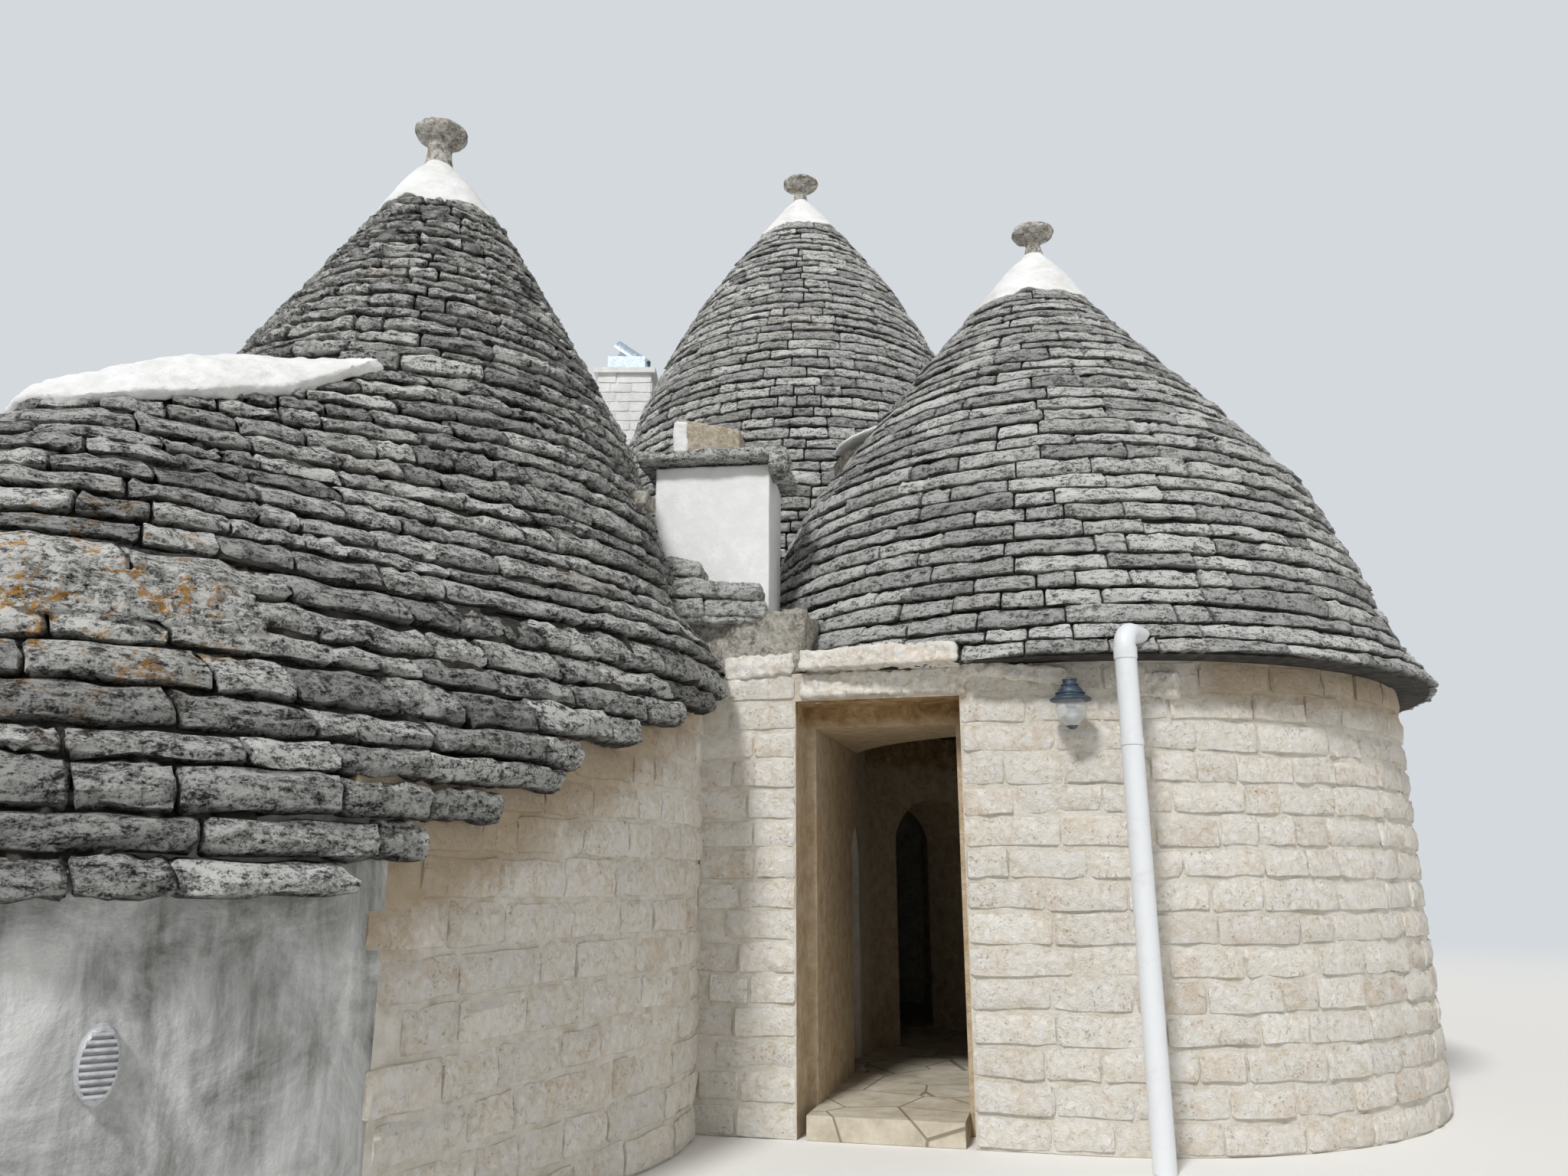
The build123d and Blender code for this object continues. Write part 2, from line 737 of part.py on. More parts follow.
def bulkhead_light():
    """An oval louvred light standing off the lobe's round wall."""
    oval = Ellipse(bulkhead_width / 2, bulkhead_tall / 2)
    body = extrude(Plane.YZ * oval, amount=bulkhead_depth + wall_entry)
    place = lobe.place() * Rot(0, 0, bulkhead_turn) * Pos(lobe.wall - wall_entry, 0, bulkhead_height)
    wall_drum = extrude(disc(lobe, lobe.wall), amount=lobe.eave_height)
    return place * body - wall_drum


def floors():
    """Stone floors of the rooms, with the arched ways, and the doorway's sill."""
    passage_floor = passage_strip - disc(front, front.room) - door_strip
    rear_floor = rear_strip - disc(front, front.room)
    sill_plan = (front_plan & door_strip) - disc(front, front.room)
    left_rooms = disc(left, left.room) + disc(lobe, lobe.room)
    return {
        "floor_front_room": extrude(disc(front, front.room), amount=floor_thickness),
        "floor_rear_room": extrude(disc(rear, rear.room) + rear_floor, amount=floor_thickness),
        "floor_left_room": extrude(left_rooms + passage_floor, amount=floor_thickness),
        "threshold": extrude(sill_plan, amount=threshold_height),
    }


def build():
    nodes = {}
    nodes.update(floors())
    nodes.update(front_walls())
    nodes["doorway_lintel"] = doorway_lintel()
    nodes["arch_rear_room"] = rear_arch()
    nodes.update(passage_walls())
    nodes.update(left_walls())
    nodes.update(rear_walls())
    nodes["valley_wall"] = valley_wall()
    nodes["valley_slabs"] = valley_slabs()
    nodes.update(roofs())
    nodes.update(valley_fill())
    for name, cone in (("front", front), ("rear", rear), ("left", left)):
        nodes["cap_" + name] = cap(cone)
        nodes["pinnacle_" + name] = pinnacle(cone)
    nodes.update(chimney())
    nodes.update(flue_stack())
    nodes["vent_pipe"] = vent_pipe()
    nodes.update(lantern())
    nodes["bulkhead_light"] = bulkhead_light()
    return nodes


os.makedirs("parts", exist_ok=True)
for name, body in build().items():
    print(name, len(body.solids()), "solids", round(body.volume / 1e9, 4), "m3")
    export_step(body, f"parts/{name}.step")
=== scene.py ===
import math

import bpy
import numpy as np
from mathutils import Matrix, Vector


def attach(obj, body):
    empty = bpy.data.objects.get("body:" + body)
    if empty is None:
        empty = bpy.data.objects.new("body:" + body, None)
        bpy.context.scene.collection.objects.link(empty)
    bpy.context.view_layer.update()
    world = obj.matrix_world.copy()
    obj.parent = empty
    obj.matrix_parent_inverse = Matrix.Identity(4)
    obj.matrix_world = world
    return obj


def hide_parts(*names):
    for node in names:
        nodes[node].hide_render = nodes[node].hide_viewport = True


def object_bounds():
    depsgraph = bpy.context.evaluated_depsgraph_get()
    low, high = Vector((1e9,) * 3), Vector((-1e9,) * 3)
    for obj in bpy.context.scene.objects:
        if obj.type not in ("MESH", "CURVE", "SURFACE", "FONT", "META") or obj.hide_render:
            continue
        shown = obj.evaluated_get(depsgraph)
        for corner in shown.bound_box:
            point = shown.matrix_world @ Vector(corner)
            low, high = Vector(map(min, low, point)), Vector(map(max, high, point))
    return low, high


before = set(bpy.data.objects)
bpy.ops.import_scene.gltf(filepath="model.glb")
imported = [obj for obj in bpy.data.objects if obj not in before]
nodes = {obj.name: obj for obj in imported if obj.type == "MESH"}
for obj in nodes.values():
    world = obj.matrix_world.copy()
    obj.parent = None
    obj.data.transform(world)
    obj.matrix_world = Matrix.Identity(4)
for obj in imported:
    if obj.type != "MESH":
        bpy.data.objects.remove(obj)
cadLow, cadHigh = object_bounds()
print("frame loaded,", len(nodes), "nodes")

# camera, at the photo's place and angle

view = {"place": (-1.956, -8.21, 1.30), "pitch": 14.5, "lens": 26.02, "sensor": 36}
bpy.ops.object.camera_add(location=view["place"], rotation=(math.radians(90 + view["pitch"]), 0, 0))
camera = bpy.context.object
camera.data.lens = view["lens"]
camera.data.sensor_width = view["sensor"]
camera.data.clip_end = 300
bpy.context.scene.camera = camera


# the facade's own axes

facadeTurn = math.radians(-13.8)
facadeOut = np.array([math.sin(facadeTurn), -math.cos(facadeTurn)])
facadeAlong = np.array([math.cos(facadeTurn), math.sin(facadeTurn)])
door = {"along": -0.944, "half": 0.462, "head": 2.29}


# finishes

def paint(red, green, blue):  # an sRGB colour, 0 to 255, as the shader wants it
    return tuple(((c / 255 + 0.055) / 1.055) ** 2.4 for c in (red, green, blue)) + (1,)


class Wire:  # a node's output that takes part in plain arithmetic
    def __init__(self, finish, socket):
        self.finish = finish
        self.socket = socket

    def math(self, operation, *others):
        return self.finish.node("Math", [self, *others], operation=operation)

    def __add__(self, other):
        return self.math("ADD", other)

    def __mul__(self, other):
        return self.math("MULTIPLY", other)

    def __sub__(self, other):
        return self.math("SUBTRACT", other)

    def __rsub__(self, other):
        return self.finish.node("Math", [other, self], operation="SUBTRACT")

    __radd__ = __add__
    __rmul__ = __mul__

    def between(self, low, high):  # 0 below low, 1 above high, smooth in between
        ends = {"Value": self, "From Min": low, "From Max": high}
        return self.finish.node("MapRange", ends, interpolation_type="SMOOTHSTEP")


class Finish:  # the nodes of a material, or of the world
    def __init__(self, name, kind="Material"):
        self.kind = kind
        self.owner = bpy.data.worlds.new(name) if kind == "World" else bpy.data.materials.new(name)
        self.owner.use_nodes = True
        self.tree = self.owner.node_tree
        self.tree.nodes.clear()
        self.place = self.node("TexCoord", output="Object")

    def node(self, kind, inputs=(), output=0, **settings):
        made = self.tree.nodes.new("ShaderNode" + kind)
        for name, value in settings.items():
            if name == "stops":
                ramp = made.color_ramp.elements
                while len(ramp) < len(value):
                    ramp.new(0.5)
                for stop, (position, colour) in zip(ramp, value):
                    stop.position = position
                    stop.color = colour
            else:
                setattr(made, name, value)
        for key, value in inputs.items() if isinstance(inputs, dict) else enumerate(inputs):
            if isinstance(value, Wire):
                self.tree.links.new(value.socket, made.inputs[key])
            else:
                made.inputs[key].default_value = value
        return Wire(self, made.outputs[output])

    def noise(self, scale, detail=4, rough=0.6, twist=0, place=None):
        values = {"Vector": place or self.place, "Scale": scale, "Detail": detail, "Roughness": rough,
                  "Distortion": twist}
        return self.node("TexNoise", values)

    def stretched(self, *scale):
        return self.node("Mapping", {"Vector": self.place, "Scale": scale})

    def axes(self, place=None):
        return (self.node("SeparateXYZ", [place or self.place], output=axis) for axis in "XYZ")

    def cells(self, scale, feature="F1", place=None):
        return self.node("TexVoronoi", {"Vector": place or self.place, "Scale": scale}, feature=feature)

    def ramp(self, value, *stops):  # each stop has its place and its colour
        painted = [(place, paint(*colour)) for place, *colour in stops]
        return self.node("ValToRGB", [value], stops=painted)

    def mix(self, share, *colours, blend="MIX"):
        first, second = (paint(*colour) if isinstance(colour, tuple) else colour for colour in colours)
        return self.node("Mix", {0: share, 6: first, 7: second}, 2, data_type="RGBA", blend_type=blend)

    def ray(self, kind):
        return self.node("LightPath", output="Is " + kind + " Ray")

    def attribute(self, name):
        return self.node("Attribute", output="Fac", attribute_name=name)

    def bump(self, height, distance, strength=1.0, under=None):
        values = {"Height": height, "Distance": distance, "Strength": strength}
        if under:
            values["Normal"] = under
        return self.node("Bump", values)

    def surface(self, colour, roughness, normal, shine=0.5, **more):
        values = {"Base Color": colour, "Roughness": roughness, "Normal": normal, "Specular IOR Level": shine}
        self.close(self.node("BsdfPrincipled", {**values, **more}))
        return self.owner

    def close(self, shader):
        end = self.tree.nodes.new("ShaderNodeOutput" + self.kind)
        self.tree.links.new(shader.socket, end.inputs[0])

    def shaded(self, colour):  # each stone a little lighter or darker than the next, with painted shade on the stones' undersides and backs and a painted highlight along their top edges
        tint = self.attribute("tint")
        grey = self.node("CombineColor", [tint, tint, tint])
        return self.mix(1.0, colour, grey, blend="MULTIPLY")


wornPlace = (-4.32, -4.6, 2.22)


def roofStoneFinish(name, dark, middle, light, pale, lichen):
    f = Finish(name)
    flat = f.stretched(1, 1, 1.9)
    grain = f.noise(30, 9, 0.78, 0.5, flat)
    speck = f.noise(120, 5, 0.75)
    streak = f.noise(1.0, 6, 0.7, 0.3, f.stretched(9, 9, 34))
    value = grain * 0.5 + speck * 0.26 + streak * 0.3
    colour = f.ramp(value, (0.45, *dark), (0.485, *middle), (0.52, *light), (0.57, *pale))
    crust = f.noise(7, 5, 0.7, 0.4).between(0.5, 0.6) * f.noise(48, 6, 0.75).between(0.46, 0.54)
    colour = f.mix(crust * 0.8, colour, pale)
    soot = f.noise(12, 7, 0.75, 0.4).between(0.53, 0.62) * f.noise(60, 4, 0.7).between(0.42, 0.54)
    colour = f.mix(soot * 0.8, colour, (38, 38, 37))
    warm = f.attribute("warm")
    rust = f.noise(6.5, 6, 0.7, 0.5).between(0.6, 0.7) * lichen + warm.between(0.95, 0.99) * 0.22
    colour = f.mix(rust.math("MINIMUM", 0.8), colour, (168, 146, 116))
    away = f.node("VectorMath", [f.place, wornPlace], "Value", operation="DISTANCE")
    orange = f.noise(9, 6, 0.75, 0.5).between(0.53, 0.6) * f.noise(60, 4, 0.7).between(0.4, 0.52)
    colour = f.mix(away.between(0.7, 0.3) * orange * 0.9, colour, (206, 150, 62))
    rough = f.bump(f.cells(17, place=flat) * 0.5 + f.noise(22, 9, 0.8, 0.6, flat), 0.06, 1.0)
    rough = f.bump(f.noise(90, 6, 0.8), 0.014, 1.0, rough)
    return f.surface(f.shaded(colour), 0.93, rough, 0.2)


def coreFinish():
    f = Finish("shadowedFill")
    colour = f.ramp(f.noise(14, 5), (0.35, 30, 28, 26), (0.65, 72, 68, 62))
    return f.surface(colour, 1.0, f.bump(f.noise(30), 0.02, 0.8))


def eaveShadowAndStain(f):  # painted eave shadow in ochre, with some water staining, on the walls under the two front roofs
    x, y, z = f.axes()
    streaks = f.noise(6, 6, 0.7, 0.4)
    right = x.between(0.1, 0.4) * (z + streaks * 0.3).between(2.24, 2.5)
    left = (0 - x).between(2.3, 2.45) * (z - y * 0.49 + streaks * 0.4).between(3.1, 3.42)
    return right.math("MAXIMUM", left)


def wallStoneFinish():
    f = Finish("roughHewnLimestone")
    grain = f.noise(26, 9, 0.75, 0.4)
    colour = f.ramp(grain * 0.75 + f.noise(5, 4) * 0.25, (0.38, 226, 214, 194), (0.46, 244, 238, 225),
                    (0.53, 250, 246, 238), (0.62, 253, 251, 247))
    blush = f.noise(5.5, 6, 0.7, 0.5).between(0.54, 0.66)
    colour = f.mix(blush * 0.38, colour, (232, 206, 180))
    warm = f.attribute("warm").between(0.8, 1.0) * f.noise(9, 6, 0.7).between(0.42, 0.6)
    colour = f.mix(warm * 0.4, colour, (214, 186, 152))
    pits = f.noise(70, 4, 0.7).between(0.58, 0.66) * f.noise(11, 5, 0.7).between(0.5, 0.6)
    colour = f.mix(pits * 0.35, colour, (186, 168, 144))
    # painted eave shadow, with some water staining, under the front roofs
    colour = f.mix(eaveShadowAndStain(f) * 0.75, colour, (186, 162, 128))
    rough = f.bump(f.noise(26, 9, 0.74, 0.5), 0.034, 0.9)
    rough = f.bump(1 - pits, 0.011, 0.9, rough)
    return f.surface(f.shaded(colour), 0.95, rough, 0.2)


def mortarFinish():
    f = Finish("paleMortarWall")
    across = f.node("Mapping", {"Vector": f.place, "Rotation": (0, 0, -facadeTurn)})
    x, y, z = f.axes(across)
    recess = (x - door["along"]).math("ABSOLUTE").between(0.53, 0.46) * y.between(-2.205, -2.19)
    colour = f.ramp(f.noise(9, 7, 0.7), (0.34, 216, 207, 191), (0.48, 236, 230, 217),
                    (0.62, 247, 243, 235))
    # painted eave shadow, with some water staining, under the front roofs
    colour = f.mix(eaveShadowAndStain(f) * 0.75, colour, (182, 158, 124))
    reveal = f.ramp(f.noise(11, 6, 0.7, 0.5), (0.34, 196, 172, 136), (0.5, 216, 196, 166),
                    (0.66, 230, 215, 190))
    # the recess's head, darker brown: painted shade under the lintel over the tan stone
    head = f.ramp(f.noise(9, 6, 0.7, 0.5), (0.34, 146, 112, 72), (0.5, 186, 154, 110),
                  (0.66, 214, 190, 152))
    reveal = f.mix(z.between(2.14, 2.24), reveal, head)
    colour = f.mix(recess, colour, reveal)
    rough = f.bump(f.noise(30, 8, 0.75), 0.025, 0.9)
    return f.surface(colour, 0.95, rough, 0.2)


def whitewashFinish(name, lump, stain):
    f = Finish(name)
    mottling = f.noise(4, 7, 0.7, 0.4)
    colour = f.ramp(mottling, (0.3, *stain), (0.47, 232, 233, 232), (0.6, 241, 242, 241))
    fleck = f.noise(45, 7, 0.75).between(0.6, 0.7) * f.noise(5, 4).between(0.5, 0.62)
    colour = f.mix(fleck * 0.6, colour, (150, 145, 134))
    rough = f.bump(f.noise(14, 7, 0.65), lump, 0.7)
    rough = f.bump(f.noise(90, 4, 0.6), 0.003, 0.7, rough)
    return f.surface(colour, 0.85, rough, 0.3)


def shadedPlasterFinish():
    f = Finish("greyPlasterPaintedShade")
    mottling = f.noise(3.2, 8, 0.72, 0.7)
    runs = f.noise(1, 6, 0.7, 0.5, f.stretched(7, 7, 1.4))
    # grey and mottled as painted shade, the wall's own shade and the dappled shadow of plants, with dark runs
    # down it
    colour = f.ramp(mottling * 0.55 + runs * 0.45, (0.38, 112, 112, 109), (0.47, 158, 159, 157),
                    (0.55, 190, 191, 190), (0.66, 222, 222, 220))
    rough = f.bump(f.noise(14, 7, 0.65), 0.015, 0.8)
    return f.surface(colour, 0.9, f.bump(f.noise(90, 4, 0.6), 0.003, 0.8, rough))


def pinnacleFinish():
    f = Finish("weatheredFinialStone")
    value = f.noise(16, 8, 0.72, 0.5) * 0.7 + f.noise(70, 5) * 0.3
    colour = f.ramp(value, (0.38, 88, 85, 78), (0.46, 144, 141, 133), (0.54, 192, 190, 183),
                    (0.64, 226, 225, 220))
    ochre = f.noise(13, 5, 0.7, 0.6).between(0.56, 0.66) * f.noise(5, 2).between(0.42, 0.56)
    colour = f.mix(ochre * 0.6, colour, (176, 132, 76))
    moss = f.noise(22, 6, 0.7).between(0.6, 0.7)
    colour = f.mix(moss * 0.6, colour, (52, 50, 46))
    rough = f.bump(f.noise(30, 8, 0.7), 0.016, 0.9)
    return f.surface(colour, 0.95, rough, 0.2)


def slabFinish(name, dark, middle, light):
    f = Finish(name)
    value = f.noise(16, 9, 0.76, 0.4) * 0.6 + f.noise(60, 6, 0.75) * 0.4
    colour = f.ramp(value, (0.42, *dark), (0.49, *middle), (0.56, *light))
    soot = f.noise(9, 6, 0.7).between(0.56, 0.66)
    colour = f.mix(soot * 0.4, colour, dark)
    rough = f.bump(f.noise(24, 9, 0.78, 0.5), 0.04, 1.0)
    return f.surface(colour, 0.93, rough, 0.25)


def galvanisedFinish():
    f = Finish("galvanisedSheet")
    spangle = f.cells(38, place=f.place)
    colour = f.ramp(spangle, (0.0, 150, 164, 176), (0.5, 184, 196, 206), (1.0, 208, 216, 222))
    worn = 0.28 + f.noise(12, 4) * 0.25
    return f.surface(colour, worn, f.bump(f.noise(9, 3), 0.003, 0.5), Metallic=0.9)


def plasticFinish():
    f = Finish("whitePipePlastic")
    dust = f.noise(7, 6, 0.7, 0.4).between(0.5, 0.75)
    colour = f.mix(dust * 0.35, (226, 229, 232), (198, 197, 190))
    return f.surface(colour, 0.34 + f.noise(30, 3) * 0.12, f.bump(f.noise(14, 2), 0.001, 0.4))


def lanternFinish():
    f = Finish("blueGreyLanternPaint")
    colour = f.ramp(f.noise(40, 6, 0.7), (0.35, 46, 58, 70), (0.6, 78, 92, 106), (0.75, 118, 128, 138))
    return f.surface(colour, 0.42 + f.noise(60, 4) * 0.2, f.bump(f.noise(120, 3), 0.001, 0.6), Metallic=0.35)


def glassFinish():
    f = Finish("lanternGlass")
    dust = f.noise(30, 5, 0.7)
    colour = f.mix(dust * 0.3, (236, 240, 240), (200, 204, 200))
    return f.surface(colour, 0.06, f.bump(f.noise(20, 2), 0.001, 0.3), Alpha=0.3 + dust * 0.14, IOR=1.45)


def louvreFinish():
    f = Finish("greyLightCasting")
    colour = f.ramp(f.noise(26, 6, 0.7), (0.3, 150, 152, 156), (0.5, 186, 188, 190), (0.7, 208, 209, 210))
    return f.surface(colour, 0.45 + f.noise(50, 3) * 0.15, f.bump(f.noise(150, 3), 0.0008, 0.6), Metallic=0.3)


def pavingFinish():
    f = Finish("wornFloorStone")
    joint = f.cells(2.4, "DISTANCE_TO_EDGE").between(0.018, 0.006)
    colour = f.ramp(f.noise(6, 7, 0.7), (0.3, 168, 158, 138), (0.5, 196, 187, 168), (0.7, 216, 209, 193))
    colour = f.mix(joint * 0.8, colour, (118, 108, 92))
    return f.surface(colour, 0.7, f.bump(f.noise(18, 6) - joint, 0.006, 0.7))


finishes = {
    "stoneLight": roofStoneFinish("greyRoofStone", (62, 62, 60), (144, 145, 141), (220, 221, 216),
                                  (253, 253, 250), 0.15),
    "stoneDark": roofStoneFinish("darkRoofStone", (42, 42, 41), (100, 101, 98), (192, 193, 189),
                                 (252, 252, 248), 0.2),
    "core": coreFinish(),
    "wallStone": wallStoneFinish(),
    "mortar": mortarFinish(),
    "whitewash": whitewashFinish("limeWash", 0.02, (216, 214, 207)),
    "plaster": whitewashFinish("smoothPlaster", 0.006, (228, 228, 224)),
    "plasterInPaintedShade": shadedPlasterFinish(),
    "rubble": slabFinish("rubbleStone", (146, 141, 130), (198, 193, 181), (232, 228, 217)),
    "pinnacle": pinnacleFinish(),
    "darkSlab": slabFinish("darkRoughSlab", (56, 54, 49), (112, 107, 98), (160, 155, 145)),
    "tufa": slabFinish("tanTufa", (192, 174, 144), (220, 207, 184), (240, 233, 219)),
    "sheet": galvanisedFinish(),
    "plastic": plasticFinish(),
    "lantern": lanternFinish(),
    "glass": glassFinish(),
    "louvre": louvreFinish(),
    "paving": pavingFinish(),
}
print("finishes made:", len(finishes))


def dress(piece, finish):
    piece.data.materials.clear()
    piece.data.materials.append(finishes[finish])


# modelling helpers

def pick(*pieces):
    bpy.ops.object.select_all(action="DESELECT")
    for piece in pieces:
        piece.select_set(True)
    bpy.context.view_layer.objects.active = pieces[0]


def started(add, scale=(1, 1, 1), **settings):  # a new primitive, its place, turn and scale applied
    bpy.ops.object.select_all(action="DESELECT")
    add(**settings)
    bpy.context.object.scale = scale
    applyAll()
    return bpy.context.object


def applyAll():
    bpy.ops.object.transform_apply(location=True, rotation=True, scale=True)


def smoothTo(degrees):
    bpy.ops.object.shade_smooth_by_angle(angle=math.radians(degrees))


def applyModifier(piece, kind, **settings):
    made = piece.modifiers.new("step", kind)
    for name, value in settings.items():
        setattr(made, name, value)
    bpy.ops.object.modifier_apply(modifier="step")


def weather(piece, cell, *waves):  # even cells, then lumps of each size and depth
    pick(piece)
    applyModifier(piece, "REMESH", mode="VOXEL", voxel_size=cell)
    for size, depth in waves:
        lumps = bpy.data.textures.new("lumps", "CLOUDS")
        lumps.noise_scale = size
        lumps.noise_depth = 2
        applyModifier(piece, "DISPLACE", texture=lumps, texture_coords="LOCAL", strength=depth)
    smoothTo(60)


def mark(mesh, tint, warm=0.3):  # the two values at each point that the stones' finishes read
    for label, value in (("tint", tint), ("warm", warm)):
        values = np.full(len(mesh.vertices), value, np.float32)
        mesh.attributes.new(label, "FLOAT", "POINT").data.foreach_set("value", values)


def settle(piece, finish, slot, *stoodFor):
    dress(piece, finish)
    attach(piece, "root")
    if stoodFor:
        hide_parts(*stoodFor)


def facePoint(along, across, z):  # from the facade's own axes
    spot = along * facadeAlong - across * facadeOut
    return (spot[0], spot[1], z)


def inFacade(x, y):  # along and across the facade's own axes
    return x * facadeAlong[0] + y * facadeAlong[1], -(x * facadeOut[0] + y * facadeOut[1])


def editAll():
    bpy.ops.object.mode_set(mode="EDIT")
    bpy.ops.mesh.select_all(action="SELECT")


def editDone(outward=False):
    if outward:
        bpy.ops.mesh.select_all(action="SELECT")
        bpy.ops.mesh.normals_make_consistent(inside=False)
    bpy.ops.object.mode_set(mode="OBJECT")


def bevelAll(width, segments=3, **settings):
    editAll()
    bpy.ops.mesh.bevel(offset=width, segments=segments, affect="EDGES", **settings)
    editDone()


def roughSlab(name, size, spot, turn, waves, edge, cell=0.012, tip=0.0, drop=0.0):
    piece = started(bpy.ops.mesh.primitive_cube_add, size=1, scale=size)
    piece.name = name
    for vertex in piece.data.vertices:  # the top falls towards the right end
        if vertex.co.x > 0 and vertex.co.z > 0:
            vertex.co.z -= drop
    bevelAll(edge)
    piece.location = spot
    piece.rotation_euler = (0, tip, turn)
    applyAll()
    weather(piece, cell, *waves)
    return piece


def ringStack(name, rings, count):  # a disc pulled up ring by ring; each ring has x, y, z and radius
    x, y, z, radius = rings[0]
    piece = started(bpy.ops.mesh.primitive_circle_add, vertices=count, radius=radius, fill_type="NGON",
                    location=(x, y, z))
    piece.name = name
    editAll()
    for low, high in zip(rings, rings[1:]):
        step = tuple(b - a for a, b in zip(low[:3], high[:3]))
        bpy.ops.mesh.extrude_region_move(TRANSFORM_OT_translate={"value": step})
        wider = high[3] / low[3]
        bpy.ops.transform.resize(value=(wider, wider, 1), center_override=high[:3])
    editDone(outward=True)
    smoothTo(40)
    return piece


def joined(name, *pieces):
    pick(*pieces)
    bpy.ops.object.join()
    bpy.context.object.name = name
    return bpy.context.object


def linked(name, mesh):
    piece = bpy.data.objects.new(name, mesh)
    bpy.context.scene.collection.objects.link(piece)
    return piece


def copyOf(name, *sources):
    made = [linked(name, nodes[source].data.copy()) for source in sources]
    piece = joined(name, *made) if len(made) > 1 else made[0]
    pick(piece)
    editAll()
    bpy.ops.mesh.remove_doubles(threshold=0.0002)
    editDone()
    return piece


# the roofs' outlines, in metres, as the source has them

def arcRadius(lowRadius, lowHeight, highRadius, highHeight, bulge, height):
    width, rise = lowRadius - highRadius, highHeight - lowHeight
    chord = math.hypot(width, rise)
    arc = (chord * chord / 4 + bulge * bulge) / (2 * bulge)
    centreRadius = (lowRadius + highRadius) / 2 - (arc - bulge) * rise / chord
    centreHeight = (lowHeight + highHeight) / 2 - (arc - bulge) * width / chord
    return centreRadius + math.sqrt(arc * arc - (height - centreHeight) ** 2)


def roofProfile(eave, *runs):  # radius over height, with the heights where a band of courses ends
    points = [(eave[1], eave[0])]
    bands = [eave[1]]
    for low, high, bulge in runs:
        count = max(1, round((high[1] - low[1]) / 0.45))
        for height in np.linspace(low[1], high[1], count + 1):
            if height > bands[-1]:
                radius = arcRadius(*low, *high, bulge, height)
                bands.append(height)
                points.append((height, radius))
    return {"points": np.array(points), "bands": bands}


levelEave = 2.45
frontRoof = {"centre": (0, 0), "capRadius": 0.512, "capBase": 5.61, "capTip": 6.2, "baseLean": 0.025,
             "lean": 0.062, "neck": 0.061, "disc": 0.168, "finial": 0.24, "shares": (0.667, 0.767, 0.9),
             "profile": roofProfile((2.45, levelEave), ((2.27, 2.75), (1.85, 3.85), 0.015),
                                    ((1.85, 3.85), (0.5, 5.61), 0.01))}
rearRoof = {"centre": (-1.754, 3.09), "capRadius": 0.492, "capBase": 8.16, "capTip": 8.72, "baseLean": 0.0,
            "lean": -0.015, "neck": 0.07, "disc": 0.196, "finial": 0.265, "shares": (0.7, 0.83, 0.87),
            "profile": roofProfile((2.4, 3.0), ((2.17, 3.7), (1.7, 6.0), 0.095),
                                   ((1.7, 6.0), (0.48, 8.16), 0.095))}
leftRoof = {"centre": (-4.156, -1.71), "capRadius": 0.397, "capBase": 5.36, "capTip": 5.83, "baseLean": -0.02,
            "lean": -0.062, "neck": 0.082, "disc": 0.168, "finial": 0.295, "shares": (0.66, 0.8, 0.86),
            "profile": roofProfile((1.86, levelEave), ((1.59, 2.78), (1.235, 3.9), 0.015),
                                   ((1.235, 3.9), (0.385, 5.36), 0.01))}
lobe = {"centre": (-4.956, -3.31), "eaveHeight": 1.25, "top": 3.7, "flare": 0.09, "front": 1.89,
        "profile": roofProfile((1.95, 1.25), ((1.95, 1.25), (0.5, 3.22), 0.2),
                               ((0.5, 3.22), (0.06, 3.7), 0.07))}
lobeWay = np.array(leftRoof["centre"]) - np.array(lobe["centre"])
lobeApart = math.hypot(*lobeWay)
lobeWay = lobeWay / lobeApart


def radiusAt(roof, height):
    heights, radii = roof["profile"]["points"].T
    return np.interp(height, heights, radii)


def fromAxis(roof, x, y):
    return np.hypot(x - roof["centre"][0], y - roof["centre"][1])


def openRing(points, normals):  # an outline with the length walked along it
    reach = np.concatenate([[0], np.cumsum(np.hypot(*np.diff(points, axis=0).T))])
    return {"points": points, "normals": normals, "reach": reach}


def ring(points, normals):  # the same, closed
    return openRing(np.vstack([points, points[:1]]), np.vstack([normals, normals[:1]]))


def outward(low, high, count):  # directions from one angle to another
    turn = np.linspace(low, high, count)
    return np.stack([np.cos(turn), np.sin(turn)], 1)


def circleRing(centre, radius):
    out = outward(0, 2 * math.pi, 145)[:-1]
    return ring(centre + radius * out, out)


def hullRing(leftRadius, lobeRadius, slide=0.0):  # round the left cone and its lobe, counterclockwise
    axis = math.atan2(-lobeWay[1], -lobeWay[0])
    side = math.acos((leftRadius - lobeRadius) / (lobeApart - slide))
    backOut = outward(axis + side, axis + 2 * math.pi - side, 100)
    frontOut = outward(axis - side, axis + side, 80)
    back = leftRoof["centre"] + leftRadius * backOut
    front = lobe["centre"] + slide * lobeWay + lobeRadius * frontOut
    straight = np.linspace(0, 1, 22)[1:-1, None]
    there = back[-1] + (front[0] - back[-1]) * straight
    home = front[-1] + (back[0] - front[-1]) * straight
    normals = [backOut, np.repeat(backOut[-1:], 20, 0), frontOut, np.repeat(frontOut[-1:], 20, 0)]
    return ring(np.vstack([back, there, front, home]), np.vstack(normals))


def flaredRadius(height):  # the left cone spreads below its level eave
    drop = max(0, (levelEave - height) / (levelEave - lobe["eaveHeight"]))
    return radiusAt(leftRoof, height) + drop * lobe["flare"]


